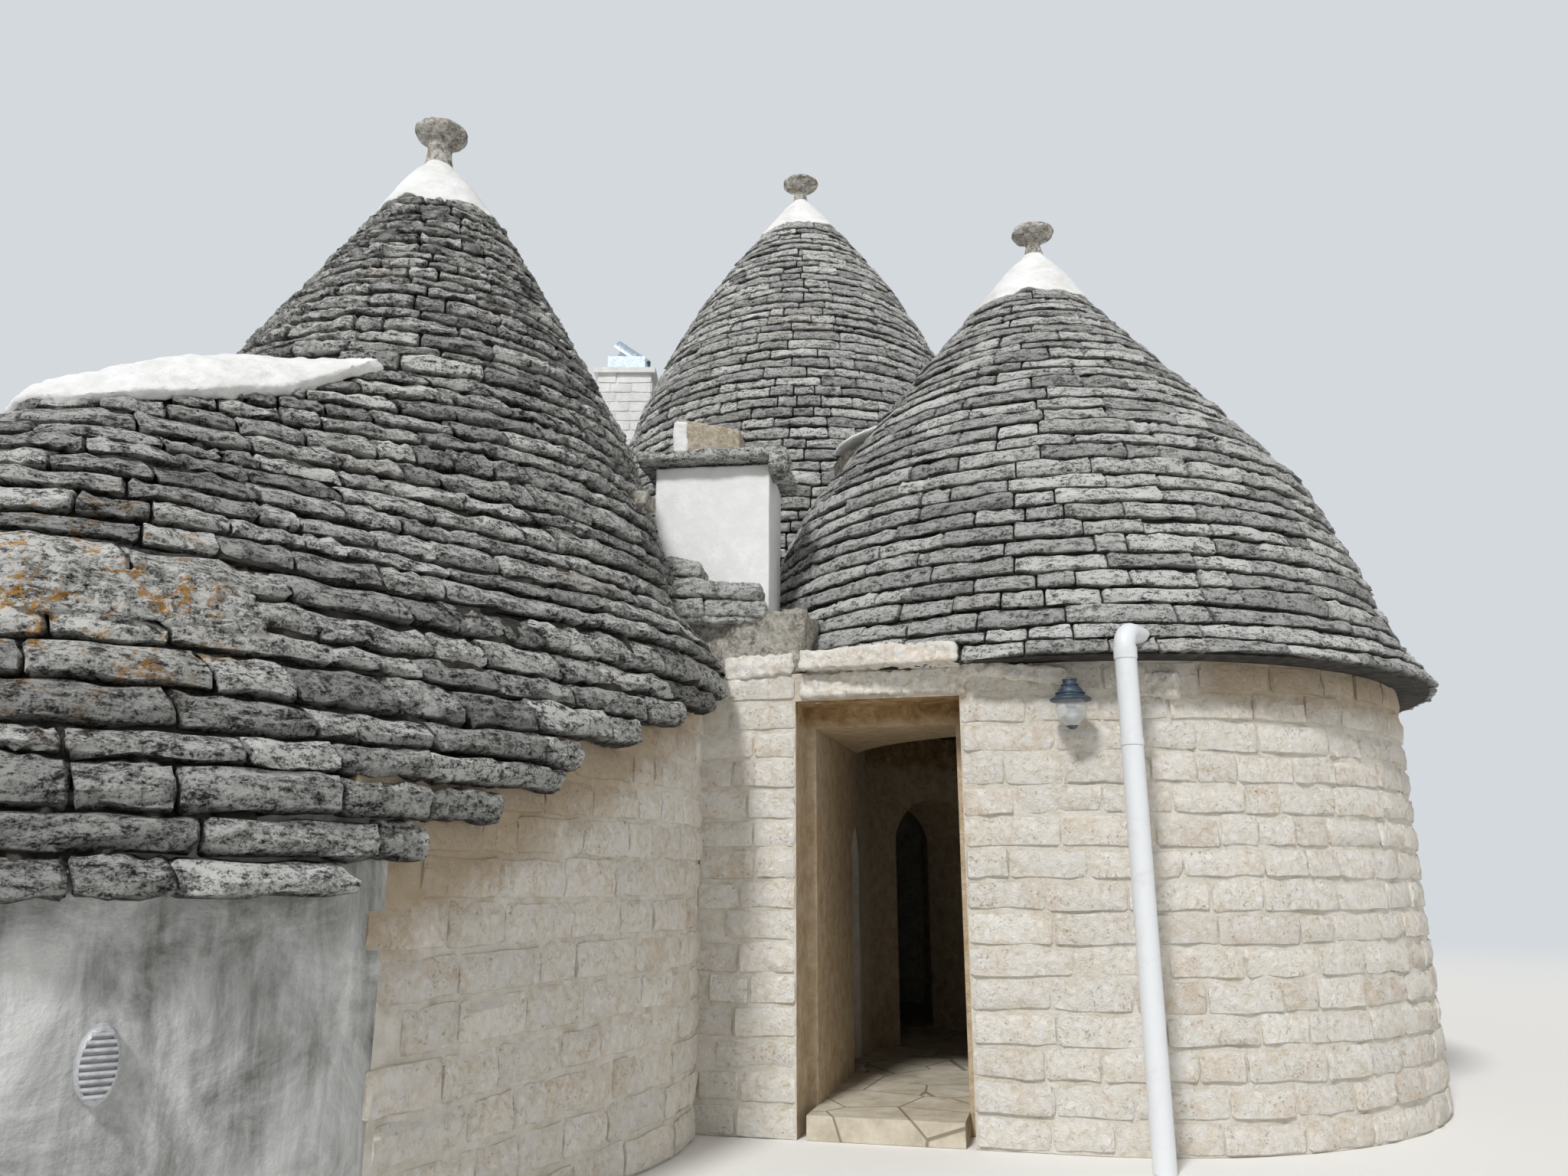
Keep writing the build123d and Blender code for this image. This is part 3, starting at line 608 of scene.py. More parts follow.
def leftOutline(height, blended=True):  # above its ridge the lobe runs into the left cone course by course
    leftRadius = flaredRadius(height)
    if not blended:
        return hullRing(leftRadius, max(radiusAt(lobe, height), 0.07))
    lobeRadius = max(radiusAt(lobe, height), 0.12)
    slide = 0
    if height > ridge["edge"][0]:
        slide = max(0, np.interp(height, ridge["crest"], ridge["along"]) + lobeRadius)
    if height > ridge["crest"][-1] or lobeApart - slide + lobeRadius < leftRadius + 0.02:
        return circleRing(leftRoof["centre"], leftRadius)
    return hullRing(leftRadius, lobeRadius, slide)


def eaveLine(y):  # the lowest stones of the left roof, level round the lobe, then climbing to the level eave
    return np.interp(y, [-4.6, -4.25, -3.02, -2.48, -1.71], [1.24, 1.29, 1.84, 2.11, levelEave])


def wallTop(y):  # under the left roof
    return np.interp(y, [-5.26, -1.71], [lobe["eaveHeight"], levelEave])


# the whitewashed ridge from the lobe up to the left cone: metres along, its edges' and its crest's height

ridge = {"along": (-0.46, -0.38, 0.08, 0.36, 0.6, 0.7), "edge": (3.24, 3.27, 3.44, 3.55, 3.72, 3.8),
         "crest": (3.27, 3.4, 3.67, 3.8, 3.85, 3.87)}


def ridgeAxes(x, y):  # metres from the lobe's centre towards the left cone, and across
    right, back = x - lobe["centre"][0], y - lobe["centre"][1]
    return right * lobeWay[0] + back * lobeWay[1], back * lobeWay[0] - right * lobeWay[1]


def insideRoof(roof, x, y, z, margin):
    return (z > roof["profile"]["bands"][0]) & (fromAxis(roof, x, y) < radiusAt(roof, z) - margin)


# stones, as closed blocks laid along an outline
# a shape has, for each point round its section, whether it is outside, its lean with the roof, its depth
# inward, its rise in the course and its shade, which is painted shade under and behind the stone and a
# painted highlight at its top edge, and then the stations along the stone

def shapeOf(**rows):
    return {name: np.array(values) for name, values in rows.items()}


slabShape = shapeOf(
    outer=(1, 1, 1, 1, 0, 0, 0, 1),
    lean=(0, 0.25, 0.58, 0.88, 0.95, 0, 0, 0),
    depth=(-0.002, -0.007, -0.004, 0.009, 0.07, 0.13, 0.13, 0.04),
    rise=(0.09, 0.36, 0.68, 0.93, 0.98, 0.98, 0.03, 0.02),
    shade=(0.86, 1.0, 1.05, 1.12, 0.4, 0.2, 0.2, 0.2),
    stations=(0, 0.03, 0.2, 0.36, 0.52, 0.68, 0.84, 0.97, 1))
thickShape = {**slabShape, **shapeOf(
    lean=(0, 0.12, 0.5, 0.8, 0.9, 0, 0, 0),
    depth=(0.0, -0.008, -0.004, 0.014, 0.07, 0.13, 0.13, 0.045),
    rise=(0.13, 0.4, 0.72, 0.91, 0.97, 0.97, 0.04, 0.025))}
blockShape = shapeOf(
    outer=(1, 1, 1, 1, 0, 0, 1),
    lean=(0, 0, 0, 0, 0, 0, 0),
    depth=(-0.014, -0.019, -0.017, -0.008, 0.05, 0.05, 0.0),
    rise=(0.08, 0.36, 0.68, 0.94, 0.99, 0.01, 0.03),
    shade=(1.0, 1.02, 1.02, 1.0, 0.85, 0.8, 0.86),
    stations=(0, 0.04, 0.25, 0.5, 0.75, 0.96, 1))
brickShape = shapeOf(
    outer=(1, 1, 0, 0),
    lean=(0, 0, 0, 0),
    depth=(-0.012, -0.012, 0.02, 0.02),
    rise=(0.04, 0.96, 1.0, 0.0),
    shade=(1.0, 1.0, 0.9, 0.9),
    stations=(0, 0.05, 0.5, 0.95, 1))


def sample(values, spot):  # between the listed values
    whole = np.clip(np.floor(spot).astype(int), 0, len(values) - 2)
    part = (spot - whole)[..., None]
    return values[whole] * (1 - part) + values[whole + 1] * part


def layCourse(outline, above, low, high, shape, look, random, shown=None, span=None):
    total = outline["reach"][-1]
    start, end = span or (0, total)
    count = max(1, round((end - start) / look["length"]))
    sizes = random.uniform(1 - look["vary"], 1 + look["vary"], count)
    sizes *= (end - start) / sizes.sum()
    starts = start + np.concatenate([[0], np.cumsum(sizes)[:-1]])
    if span is None:
        starts = starts + random.uniform(0, total)
    stations = shape["stations"]
    along = starts[:, None] + look["gap"] / 2 + (sizes - look["gap"])[:, None] * stations
    wrapped = along % total if span is None else along
    spot = np.interp(wrapped, outline["reach"], np.arange(len(outline["reach"])))
    base = sample(outline["points"], spot)
    slope = sample(above["points"], spot) - base
    normal = sample(outline["normals"], spot)
    normal /= np.linalg.norm(normal, axis=-1, keepdims=True)
    size = (count, len(stations), len(shape["rise"]))
    outer = shape["outer"]
    ends = np.zeros(len(stations))
    ends[[0, -1]] = 1

    def each(low, high):  # one draw for every stone
        return random.uniform(low, high, (count, 1, 1))

    rough = look["rough"]
    depth = shape["depth"] + each(0, look["proud"])
    depth = depth + each(-1, 1) * look["tilt"] * (stations[:, None] - 0.5)
    depth = depth + outer * each(-1, 1) * look["lip"] * (shape["rise"] - 0.5)
    depth = depth + outer * (random.normal(0, rough, size) + ends[:, None] * look["round"])
    depth = np.maximum(depth, look["limit"])
    rise = shape["rise"] * each(0.9, 1.02) + each(-0.01, 0.03)
    rise = 0.5 + (rise - 0.5) * (1 - outer * ends[:, None] * each(0.02, look["corner"]))
    spread = base[:, :, None] + slope[:, :, None] * shape["lean"][:, None]
    x, y = np.moveaxis(spread - normal[:, :, None] * depth[..., None], -1, 0)

    def wavy(level):  # a joint that rises and falls, the same for the courses below and above it
        long, middle = np.sin(1.7 * x + 2.1 * y + 23 * level), np.sin(4.9 * x - 4.3 * y + 31 * level)
        return level + look["wave"] * (long + 0.7 * middle + 0.6 * np.sin(17 * x + 13 * y + 41 * level))

    bottom, top = wavy(low), wavy(high)
    z = bottom + (top - bottom) * rise + random.normal(0, rough * 0.6, size)
    points = np.stack([x, y, z], -1)
    # each stone's own tone, times its shape's painted shade and painted highlight
    tint = each(look["dim"], look["bright"]) * shape["shade"] * np.ones(size)
    warm = each(0, 1) * np.ones(size)
    if shown is not None:
        middle = len(stations) // 2
        keep = shown(base[:, middle, 0], base[:, middle, 1], normal[:, middle], (low + high) / 2)
        points, tint, warm = points[keep], tint[keep], warm[keep]
    return points, tint, warm


def stoneMesh(name, courses, finish, slot, angle=26):
    points, tint, warm = (np.concatenate(part) for part in zip(*courses))
    points = np.clip(points, np.array(cadLow) + 0.001, np.array(cadHigh) - 0.001)
    index = np.arange(tint.size).reshape(tint.shape)
    turned = np.roll(index, -1, axis=2)
    sides = np.stack([index[:, :-1], turned[:, :-1], turned[:, 1:], index[:, 1:]], -1).reshape(-1, 4)
    caps = np.concatenate([index[:, 0, ::-1], index[:, -1]])
    mesh = bpy.data.meshes.new(name)
    mesh.from_pydata(points.reshape(-1, 3).tolist(), [], sides.tolist() + caps.tolist())
    mark(mesh, tint.ravel(), warm.ravel())
    piece = linked(name, mesh)
    pick(piece)
    editAll()
    editDone(outward=True)
    smoothTo(angle)
    settle(piece, finish, slot)
    print(name, len(points), "stones,", sum(len(p.vertices) - 2 for p in mesh.polygons), "triangles")


def coreOf(name, sources, inset):  # the roof's own shell, drawn in behind its stones
    piece = copyOf(name, *sources)
    for vertex in piece.data.vertices:
        vertex.co = inset(vertex.co)
    smoothTo(35)
    settle(piece, "core", "roof_stone", *sources)


def roundInset(roof, inward=0.055):
    centre = Vector(roof["centre"])

    def moved(point):
        away = point.xy - centre
        if away.length < radiusAt(roof, point.z) - 0.02:
            return point
        flat = centre + away * (1 - inward / away.length)
        return Vector((flat.x, flat.y, point.z))
    return moved


def leftInset(point):
    if point.z >= lobe["top"] - 0.001:
        return roundInset(leftRoof)(point)
    apart = leftOutline(point.z, False)["points"] - np.array(point.xy)
    nearest = np.hypot(*apart.T).argmin()
    if np.hypot(*apart[nearest]) > 0.03:
        return point
    outline = leftOutline(point.z)
    flat = outline["points"][nearest] - outline["normals"][nearest] * 0.075
    return Vector((flat[0], flat[1], point.z))


roofLook = {"length": 0.4, "vary": 0.55, "gap": 0.012, "rough": 0.0065, "proud": 0.018, "tilt": 0.02,
            "lip": 0.018, "round": 0.01, "corner": 0.2, "wave": 0.006, "dim": 0.66, "bright": 1.32,
            "limit": -0.012}


def bandedHeights(bands, first, last, random):  # whole courses between the bands, lower towards the top
    heights = [bands[0]]
    for low, high in zip(bands, bands[1:]):
        course = np.interp((low + high) / 2, [bands[0], bands[-1]], [first, last])
        count = max(1, round((high - low) / course))
        sizes = random.uniform(0.84, 1.16, count)
        heights.extend(low + np.cumsum(sizes) * (high - low) / sizes.sum())
    heights[-1] += 0.02
    return heights


def layRoof(roof, first, last, seed, look, shown):
    random = np.random.default_rng(seed)
    heights = bandedHeights(roof["profile"]["bands"], first, last, random)
    for low, high in zip(heights, heights[1:]):
        outline = circleRing(roof["centre"], radiusAt(roof, low + 0.002))
        above = circleRing(roof["centre"], radiusAt(roof, high - 0.002))
        yield layCourse(outline, above, low, high, slabShape, look, random, shown)


def clearOfFront(x, y, normal, z):
    return ~insideRoof(frontRoof, x, y, z, 0.12)


def clearOfSlab(x, y, normal, z):  # the lowest course stops at the long slab over the doorway
    along, across = inFacade(x, y)
    return (z > 2.57) | (across > 0) | (along < -1.6) | (along > -0.42)


frontCourses = layRoof(frontRoof, 0.116, 0.094, 3, roofLook, clearOfSlab)
stoneMesh("frontRoofStones", frontCourses, "stoneLight", "roof_stone")
rearCourses = layRoof(rearRoof, 0.11, 0.097, 5, {**roofLook, "length": 0.34}, clearOfFront)
stoneMesh("rearRoofStones", rearCourses, "stoneLight", "roof_stone")
coreOf("frontRoofCore", ["roof_front"], roundInset(frontRoof))
coreOf("rearRoofCore", ["roof_rear"], roundInset(rearRoof))


def overWall(height, low):  # the courses cover the wall's face below its top, and draw back above it
    outline = leftOutline(height)
    if low >= 2.8:
        return outline
    front = hullRing(flaredRadius(height), max(radiusAt(lobe, height), lobe["front"]))
    points = outline["points"][:-1]
    fade = np.where(ridgeAxes(*points.T)[1] > 0, 0.5, 0.1)
    share = np.clip(1 - (low - wallTop(points[:, 1]) - 0.02) / fade, 0, 1)
    outer = np.maximum(front["points"][:-1], (cadLow[0] + 0.016, cadLow[1]))
    return ring(points + (outer - points) * share[:, None], outline["normals"][:-1])


def layLeftRoof():
    random = np.random.default_rng(11)
    lower = bandedHeights([lobe["eaveHeight"], 1.65, 2.05, levelEave], 0.138, 0.112, random)
    upper = bandedHeights(leftRoof["profile"]["bands"], 0.11, 0.074, random)
    lower[-1] = levelEave
    heights = lower + upper[1:]
    for low, high in zip(heights, heights[1:]):
        def onRoof(x, y, normal, z):
            onLobe = fromAxis(leftRoof, x, y) > radiusAt(leftRoof, z) + 0.03
            reach, side = ridgeAxes(x, y)
            covered = onLobe & (z > np.interp(reach, ridge["along"], ridge["edge"]) + 0.07)
            foot = np.where(side > 0, wallTop(y) - 0.03, eaveLine(y))
            return (low > foot - 0.03) & ~(covered & (reach < ridge["along"][-1]))
        length = np.interp(low, [1.25, 2.6, 4, 5.3], [0.42, 0.36, 0.31, 0.24])
        look = {**roofLook, "length": length, "rough": 0.0085, "wave": 0.008, "lip": 0.022, "gap": 0.014,
                "corner": 0.34, "round": 0.018, "dim": 0.58, "bright": 1.3}
        outline, above = overWall(low + 0.002, low), overWall(high - 0.002, low)
        if len(above["points"]) != len(outline["points"]):
            above = outline
        yield layCourse(outline, above, low, high, thickShape, look, random, onRoof)


stoneMesh("leftRoofStones", layLeftRoof(), "stoneDark", "roof_stone")
coreOf("leftRoofCore", ["roof_left", "roof_lobe"], leftInset)

# rough-hewn blocks on the walls: radii of the round rooms, and where the facade and the passage run

walls = {"front": 2.2, "rear": 2.15, "left": 1.72, "lobe": 1.8, "rearTop": 3.0, "facadeStart": -2.4,
         "facadeBack": -1.1, "shoulderEnd": -1.15, "shoulderTop": 2.63, "passageEnds": (1.45, 3.8),
         "passageSides": (-1.35, 1.5), "passageTop": 2.83}
passageTurn = math.atan2(leftRoof["centre"][1], leftRoof["centre"][0])
leftWall = hullRing(walls["left"], walls["lobe"])


def between(values, low, high):
    return (values > low) & (values < high)


def insideWalls(x, y, z):
    along, across = inFacade(x, y)
    onLine = x * math.cos(passageTurn) + y * math.sin(passageTurn)
    offLine = -x * math.sin(passageTurn) + y * math.cos(passageTurn)
    behind = across > -walls["front"]
    passage = behind & between(onLine, *walls["passageEnds"]) & between(offLine, *walls["passageSides"])
    facade = behind & (along > walls["facadeStart"]) & (across < walls["facadeBack"])
    rear = fromAxis(rearRoof, x, y) < walls["rear"]
    solid = np.zeros_like(x, bool)
    if z < levelEave:
        apart = np.stack([x, y], -1)[:, None] - leftWall["points"]
        nearest = np.hypot(apart[..., 0], apart[..., 1]).argmin(1)
        apart = apart[np.arange(len(x)), nearest]
        inward = (apart * leftWall["normals"][nearest]).sum(1) < 0
        solid = (fromAxis(frontRoof, x, y) < walls["front"]) | (facade & (along < 0)) | rear | passage
        solid |= inward & (z < wallTop(y) + 0.02)
    elif z < walls["rearTop"]:
        shoulder = facade & (along < walls["shoulderEnd"]) & (z < walls["shoulderTop"])
        solid = rear | shoulder | (passage & (z < walls["passageTop"]))
    for roof in (frontRoof, leftRoof, rearRoof):
        solid |= insideRoof(roof, x, y, z, 0)
    return solid


def onStoneHull(x, y, normal, z):  # the lobe's own round wall is plastered, without blocks
    return onFace(x, y, normal, z) & (ridgeAxes(x, y)[0] > 0)


def onFace(x, y, normal, z):  # a face of the masonry that nothing stands against
    inner = insideWalls(x - 0.05 * normal[:, 0], y - 0.05 * normal[:, 1], z)
    outer = insideWalls(x + 0.05 * normal[:, 0], y + 0.05 * normal[:, 1], z)
    return inner & ~outer


def frontPath():  # along the facade, then round the front room to the rear
    straight = np.linspace(walls["facadeStart"], 0, 40)[:-1, None] * facadeAlong + walls["front"] * facadeOut
    out = outward(facadeTurn - math.pi / 2, facadeTurn + math.pi * 0.75, 160)
    normals = np.vstack([np.repeat(facadeOut[None], 39, 0), out])
    return openRing(np.vstack([straight, walls["front"] * out]), normals)


wallLook = {"length": 0.37, "vary": 0.45, "gap": 0.012, "rough": 0.0045, "proud": 0.008, "tilt": 0.008,
            "lip": 0.008, "round": 0.006, "corner": 0.18, "wave": 0.005, "dim": 0.94, "bright": 1.06,
            "limit": -0.04}


def layWalls():
    random = np.random.default_rng(21)
    path = frontPath()
    middle = door["along"] - walls["facadeStart"]
    heights = np.concatenate([np.linspace(0, door["head"], 15), [levelEave]])
    for low, high in zip(heights, heights[1:]):
        for span in ((0, middle - door["half"]), (middle + door["half"], path["reach"][-1])):
            yield layCourse(path, path, low, high, blockShape, wallLook, random, onFace, span)
    rearWall = circleRing(rearRoof["centre"], walls["rear"])
    others = ((leftWall, levelEave, 15, onStoneHull), (rearWall, walls["rearTop"], 19, onFace))
    for outline, top, count, shown in others:
        steps = np.linspace(0, top, count)
        for low, high in zip(steps, steps[1:]):
            yield layCourse(outline, outline, low, high, blockShape, wallLook, random, shown)


stoneMesh("wallBlocks", layWalls(), "wallStone", "limestone_wall")
print("stones laid")

# whitewashed tips and carved finials

capLook = {"rings": 9, "around": 72, "hem": 0.022, "lump": 0.022, "cell": 0.018}


def whiteCap(name, roof):
    x, y = roof["centre"]
    base, tip = roof["capBase"], roof["capTip"]
    rings = []
    for step in range(capLook["rings"] + 1):
        part = step / capLook["rings"]
        radius = roof["capRadius"] + (roof["neck"] + 0.012 - roof["capRadius"]) * part
        radius += 0.012 * math.sin(math.pi * part) - 0.02 * math.exp(-((part - 0.93) / 0.06) ** 2)
        shift = roof["baseLean"] + (roof["lean"] - roof["baseLean"]) * part
        rings.append((x + shift, y, base + (tip - base) * part, radius))
    piece = ringStack("whiteCap_" + name, rings, capLook["around"])
    weather(piece, capLook["cell"], (0.3, capLook["lump"]), (0.06, 0.008))
    for vertex in piece.data.vertices:  # a hem that rises and falls with the stones
        turn = math.atan2(vertex.co.y - y, vertex.co.x - x)
        near = max(0, 1 - (vertex.co.z - base) / 0.12)
        wave = math.sin(3 * turn + x) + 0.7 * math.sin(7 * turn + 2) + 0.5 * math.sin(13 * turn)
        vertex.co.z += near * capLook["hem"] * (wave - 0.2)
    settle(piece, "whitewash", "whitewash", "cap_" + name)


def finial(name, roof):
    x, y = roof["centre"]
    x += roof["lean"]
    tip, neck, disc = roof["capTip"], roof["neck"], roof["disc"]
    under, rim, rimTop = (tip + share * roof["finial"] for share in roof["shares"])
    top = tip + roof["finial"] - 0.014
    rings = [(x, y, tip - 0.02, neck + 0.012), (x, y, tip + 0.02, neck + 0.004),
             (x, y, (tip + under) / 2, neck - 0.004)]
    for turn in np.linspace(0, math.pi / 2, 6):
        spread = neck + (disc - neck) * math.sin(turn)
        rings.append((x, y, rim - (rim - under) * math.cos(turn), spread))
    for turn in np.linspace(0.2, math.pi / 2 - 0.15, 6):
        rings.append((x, y, rimTop + (top - rimTop) * math.sin(turn), disc * math.cos(turn)))
    piece = ringStack("finial_" + name, rings, 48)
    weather(piece, 0.008, (0.11, 0.022), (0.028, 0.009))
    settle(piece, "pinnacle", "pinnacle_stone", "pinnacle_" + name)


for name, roof in (("front", frontRoof), ("rear", rearRoof), ("left", leftRoof)):
    whiteCap(name, roof)
    finial(name, roof)
print("tips and finials made")

# whitewashed ridge and the fill between the cones

def draped(name, place, across, up, thick, cell, *waves):  # a sheet over the roof, place(u, v) from 0 to 1
    piece = started(bpy.ops.mesh.primitive_grid_add, x_subdivisions=across, y_subdivisions=up, size=1)
    piece.name = name
    for vertex in piece.data.vertices:
        vertex.co = place(vertex.co.x + 0.5, vertex.co.y + 0.5)
    applyModifier(piece, "SOLIDIFY", thickness=thick, offset=0)
    weather(piece, cell, *waves)
    return piece


def ridgePlace(u, v):
    along = ridge["along"][0] + u * (ridge["along"][-1] - ridge["along"][0])
    edge = np.interp(along, ridge["along"], ridge["edge"])
    crest = np.interp(along, ridge["along"], ridge["crest"])
    outline = leftOutline(min(edge, lobe["top"] - 0.01))["points"]
    reach, side = ridgeAxes(*outline.T)
    near = (side > 0) & (reach < 1.2)
    order = np.argsort(reach[near])
    half = np.interp(along, reach[near][order], side[near][order], left=0.02) + 0.03
    side = 2 * v - 1
    x = lobe["centre"][0] + along * lobeWay[0] - side * half * lobeWay[1]
    y = lobe["centre"][1] + along * lobeWay[1] + side * half * lobeWay[0]
    return (x, y, edge + (crest - edge) * (1 - abs(side) ** 2.4))


piece = draped("whiteRidge", ridgePlace, 48, 24, 0.07, 0.018, (0.3, 0.05), (0.07, 0.028))
settle(piece, "whitewash", "whitewash", "ridge_whitewash")
piece = copyOf("valleyWhite", "valley_whitewash")
editAll()
bpy.ops.mesh.bisect(plane_co=(0, 0, 4.89), plane_no=(0, 0, 1), use_fill=True, clear_inner=True)
editDone()
weather(piece, 0.02, (0.3, 0.02), (0.06, 0.012))
settle(piece, "whitewash", "whitewash", "valley_whitewash")

# a worn patch of large stones on the lobe

patch = {"from": (-4.55, -4.75), "to": (-3.9, -4.2), "low": 2.13, "high": 2.31}


def patchPlace(u, v):
    height = patch["low"] + v * (patch["high"] - patch["low"])
    outline = leftOutline(height)
    ends = [np.hypot(*(outline["points"] - np.array(patch[end])).T).argmin() for end in ("from", "to")]
    spot = ends[0] + u * (ends[1] - ends[0])
    point, normal = (sample(outline[key], np.array(spot)) for key in ("points", "normals"))
    return (*(point + 0.004 * normal), height)


worn = draped("wornPatch", patchPlace, 40, 10, 0.04, 0.016, (0.13, 0.07), (0.04, 0.04))
settle(worn, "stoneDark", "roof_stone")
mark(worn.data, 1.1)

# chimney between the cones

chimney = {"spot": (-2.378, -1.12), "turn": math.radians(-6.6)}


def onChimney(right, back, z):
    turn = chimney["turn"]
    x, y = chimney["spot"]
    x += right * math.cos(turn) - back * math.sin(turn)
    return (x, y + right * math.sin(turn) + back * math.cos(turn), z)


shaft = copyOf("chimneyPlaster", "chimney_shaft")
weather(shaft, 0.018, (0.5, 0.014), (0.08, 0.004))
settle(shaft, "plaster", "whitewash", "chimney_shaft")
slab = roughSlab("chimneySlabStone", (0.95, 0.81, 0.062), onChimney(0, 0, 3.907), chimney["turn"],
                 ((0.2, 0.03), (0.04, 0.016)), 0.014)
brow = roughSlab("slabEnd", (0.12, 0.3, 0.15), onChimney(0.43, -0.26, 3.86), chimney["turn"],
                 ((0.1, 0.04), (0.03, 0.02)), 0.02, 0.014)
slab = joined("chimneySlabStone", slab, brow)
mark(slab.data, 1.15)
settle(slab, "stoneDark", "roof_stone", "chimney_slab")
wedge = roughSlab("tufaWedge", (0.41, 0.3, 0.28), onChimney(-0.035, -0.12, 4.07), chimney["turn"],
                  ((0.12, 0.012), (0.03, 0.006)), 0.012, drop=0.095)
settle(wedge, "tufa", "pinnacle_stone", "chimney_block")
lump = roughSlab("whiteLump", (0.1, 0.31, 0.27), onChimney(-0.215, -0.125, 4.055), chimney["turn"],
                 ((0.1, 0.02), (0.03, 0.01)), 0.02)
settle(lump, "whitewash", "whitewash")

# large flat stones in front of the chimney: length, height, left end, low edge and tilt of each

flatStones = ((0.4, 0.115, -2.82, 2.8, -2), (0.37, 0.11, -2.42, 2.8, 2), (0.74, 0.115, -2.82, 2.922, 4),
              (0.37, 0.115, -2.81, 3.055, 4), (0.5, 0.05, -2.6, 2.76, 0))
slabs = []
for length, height, end, low, tilt in flatStones:
    slabs.append(roughSlab("flatStone", (length, 0.34, height), (end + length / 2, -1.585, low + height / 2),
                           math.radians(-4), ((0.13, 0.04), (0.035, 0.022)), 0.016, 0.013,
                           tip=math.radians(tilt), drop=0.02))
slabs = joined("valleyFlatStones", *slabs)
mark(slabs.data, 1.0)
settle(slabs, "stoneLight", "roof_stone", "valley_slabs")
end = roughSlab("slabEndOnLeftRoof", (0.26, 0.2, 0.08), (-2.85, -1.97, 3.42), math.radians(-12),
                ((0.08, 0.025), (0.03, 0.014)), 0.01)
settle(end, "rubble", "roof_stone")
print("chimney made")

# brick stack behind, painted white

stack = {"spot": (-3.77, 3.99), "half": 0.3, "top": 6.9, "course": 0.115, "joint": 0.14, "shift": 0.07}
brickLook = {**wallLook, "length": 0.27, "vary": 0.12, "gap": 0.008, "rough": 0.0025, "proud": 0.004,
             "tilt": 0.002, "lip": 0.002, "round": 0.003, "wave": 0.001}


def clearOfRear(x, y, normal, z):
    return ~insideRoof(rearRoof, x, y, z, 0.05) & (fromAxis(rearRoof, x, y) > (2.1 if z < 3 else 0))


def layStack():
    random = np.random.default_rng(31)
    half = stack["half"]
    corners = np.array([(-half, -half), (half, -half), (half, half), (-half, half)]) + stack["spot"]
    heights = np.linspace(0, stack["top"], round(stack["top"] / stack["course"]) + 1)
    for number, (low, high) in enumerate(zip(heights, heights[1:])):
        for side in range(4):
            first, second = corners[side], corners[(side + 1) % 4]
            along = (second - first) / (2 * half)
            line = openRing(np.stack([first, second]), np.repeat([[along[1], -along[0]]], 2, 0))
            joint = stack["joint"] + stack["shift"] * (number % 2)
            for span in ((-0.01, joint), (joint, 2 * half + 0.01)):
                yield layCourse(line, line, low, high, brickShape, brickLook, random, clearOfRear, span)


stoneMesh("flueBricks", layStack(), "whitewash", "whitewash", 40)

# lantern beside the doorway

lamp = {"along": 0.111, "across": -2.3572, "ribs": 32,
        "hood": ((2.214, 0.104), (2.218, 0.108), (2.224, 0.107), (2.232, 0.092), (2.242, 0.074),
                 (2.247, 0.073), (2.25, 0.078), (2.256, 0.078), (2.259, 0.066), (2.272, 0.061),
                 (2.284, 0.052), (2.293, 0.04), (2.295, 0.045), (2.3, 0.045), (2.302, 0.036),
                 (2.318, 0.034), (2.322, 0.038), (2.328, 0.037), (2.334, 0.02)),
        "socket": ((2.175, 0.02), (2.19, 0.03), (2.214, 0.034), (2.22, 0.03)),
        "tip": ((2.066, 0.012), (2.07, 0.02), (2.079, 0.028), (2.083, 0.03)),
        "bulb": ((2.115, 0.008), (2.118, 0.018), (2.128, 0.027), (2.142, 0.03), (2.158, 0.026),
                 (2.172, 0.017), (2.178, 0.016))}


def lampTurned(name, part, count=24):  # height and radius of each ring, round the lantern's axis
    x, y = facePoint(lamp["along"], lamp["across"], 0)[:2]
    return ringStack(name, [(x, y, z, radius) for z, radius in lamp[part]], count)


def lampRod(sides, radius, depth, across, z):  # out of the facade
    return started(bpy.ops.mesh.primitive_cylinder_add, vertices=sides, radius=radius, depth=depth,
                   location=facePoint(lamp["along"], across, z), rotation=(math.radians(90), 0, facadeTurn))


metal = [lampTurned("lanternHood", "hood", lamp["ribs"]), lampTurned("lampSocket", "socket"),
         lampTurned("lampTip", "tip"), lampRod(20, 0.009, 0.15, -2.272, 2.3),
         lampRod(40, 0.042, 0.03, -2.205, 2.29)]
bevelAll(0.006)
body = joined("lanternBody", *metal)
smoothTo(40)
settle(body, "lantern", "dark_metal", "lantern_body")
settle(lampTurned("lampBulb", "bulb"), "plastic", "lamp_glass")

# oval light with louvres on the lobe's wall

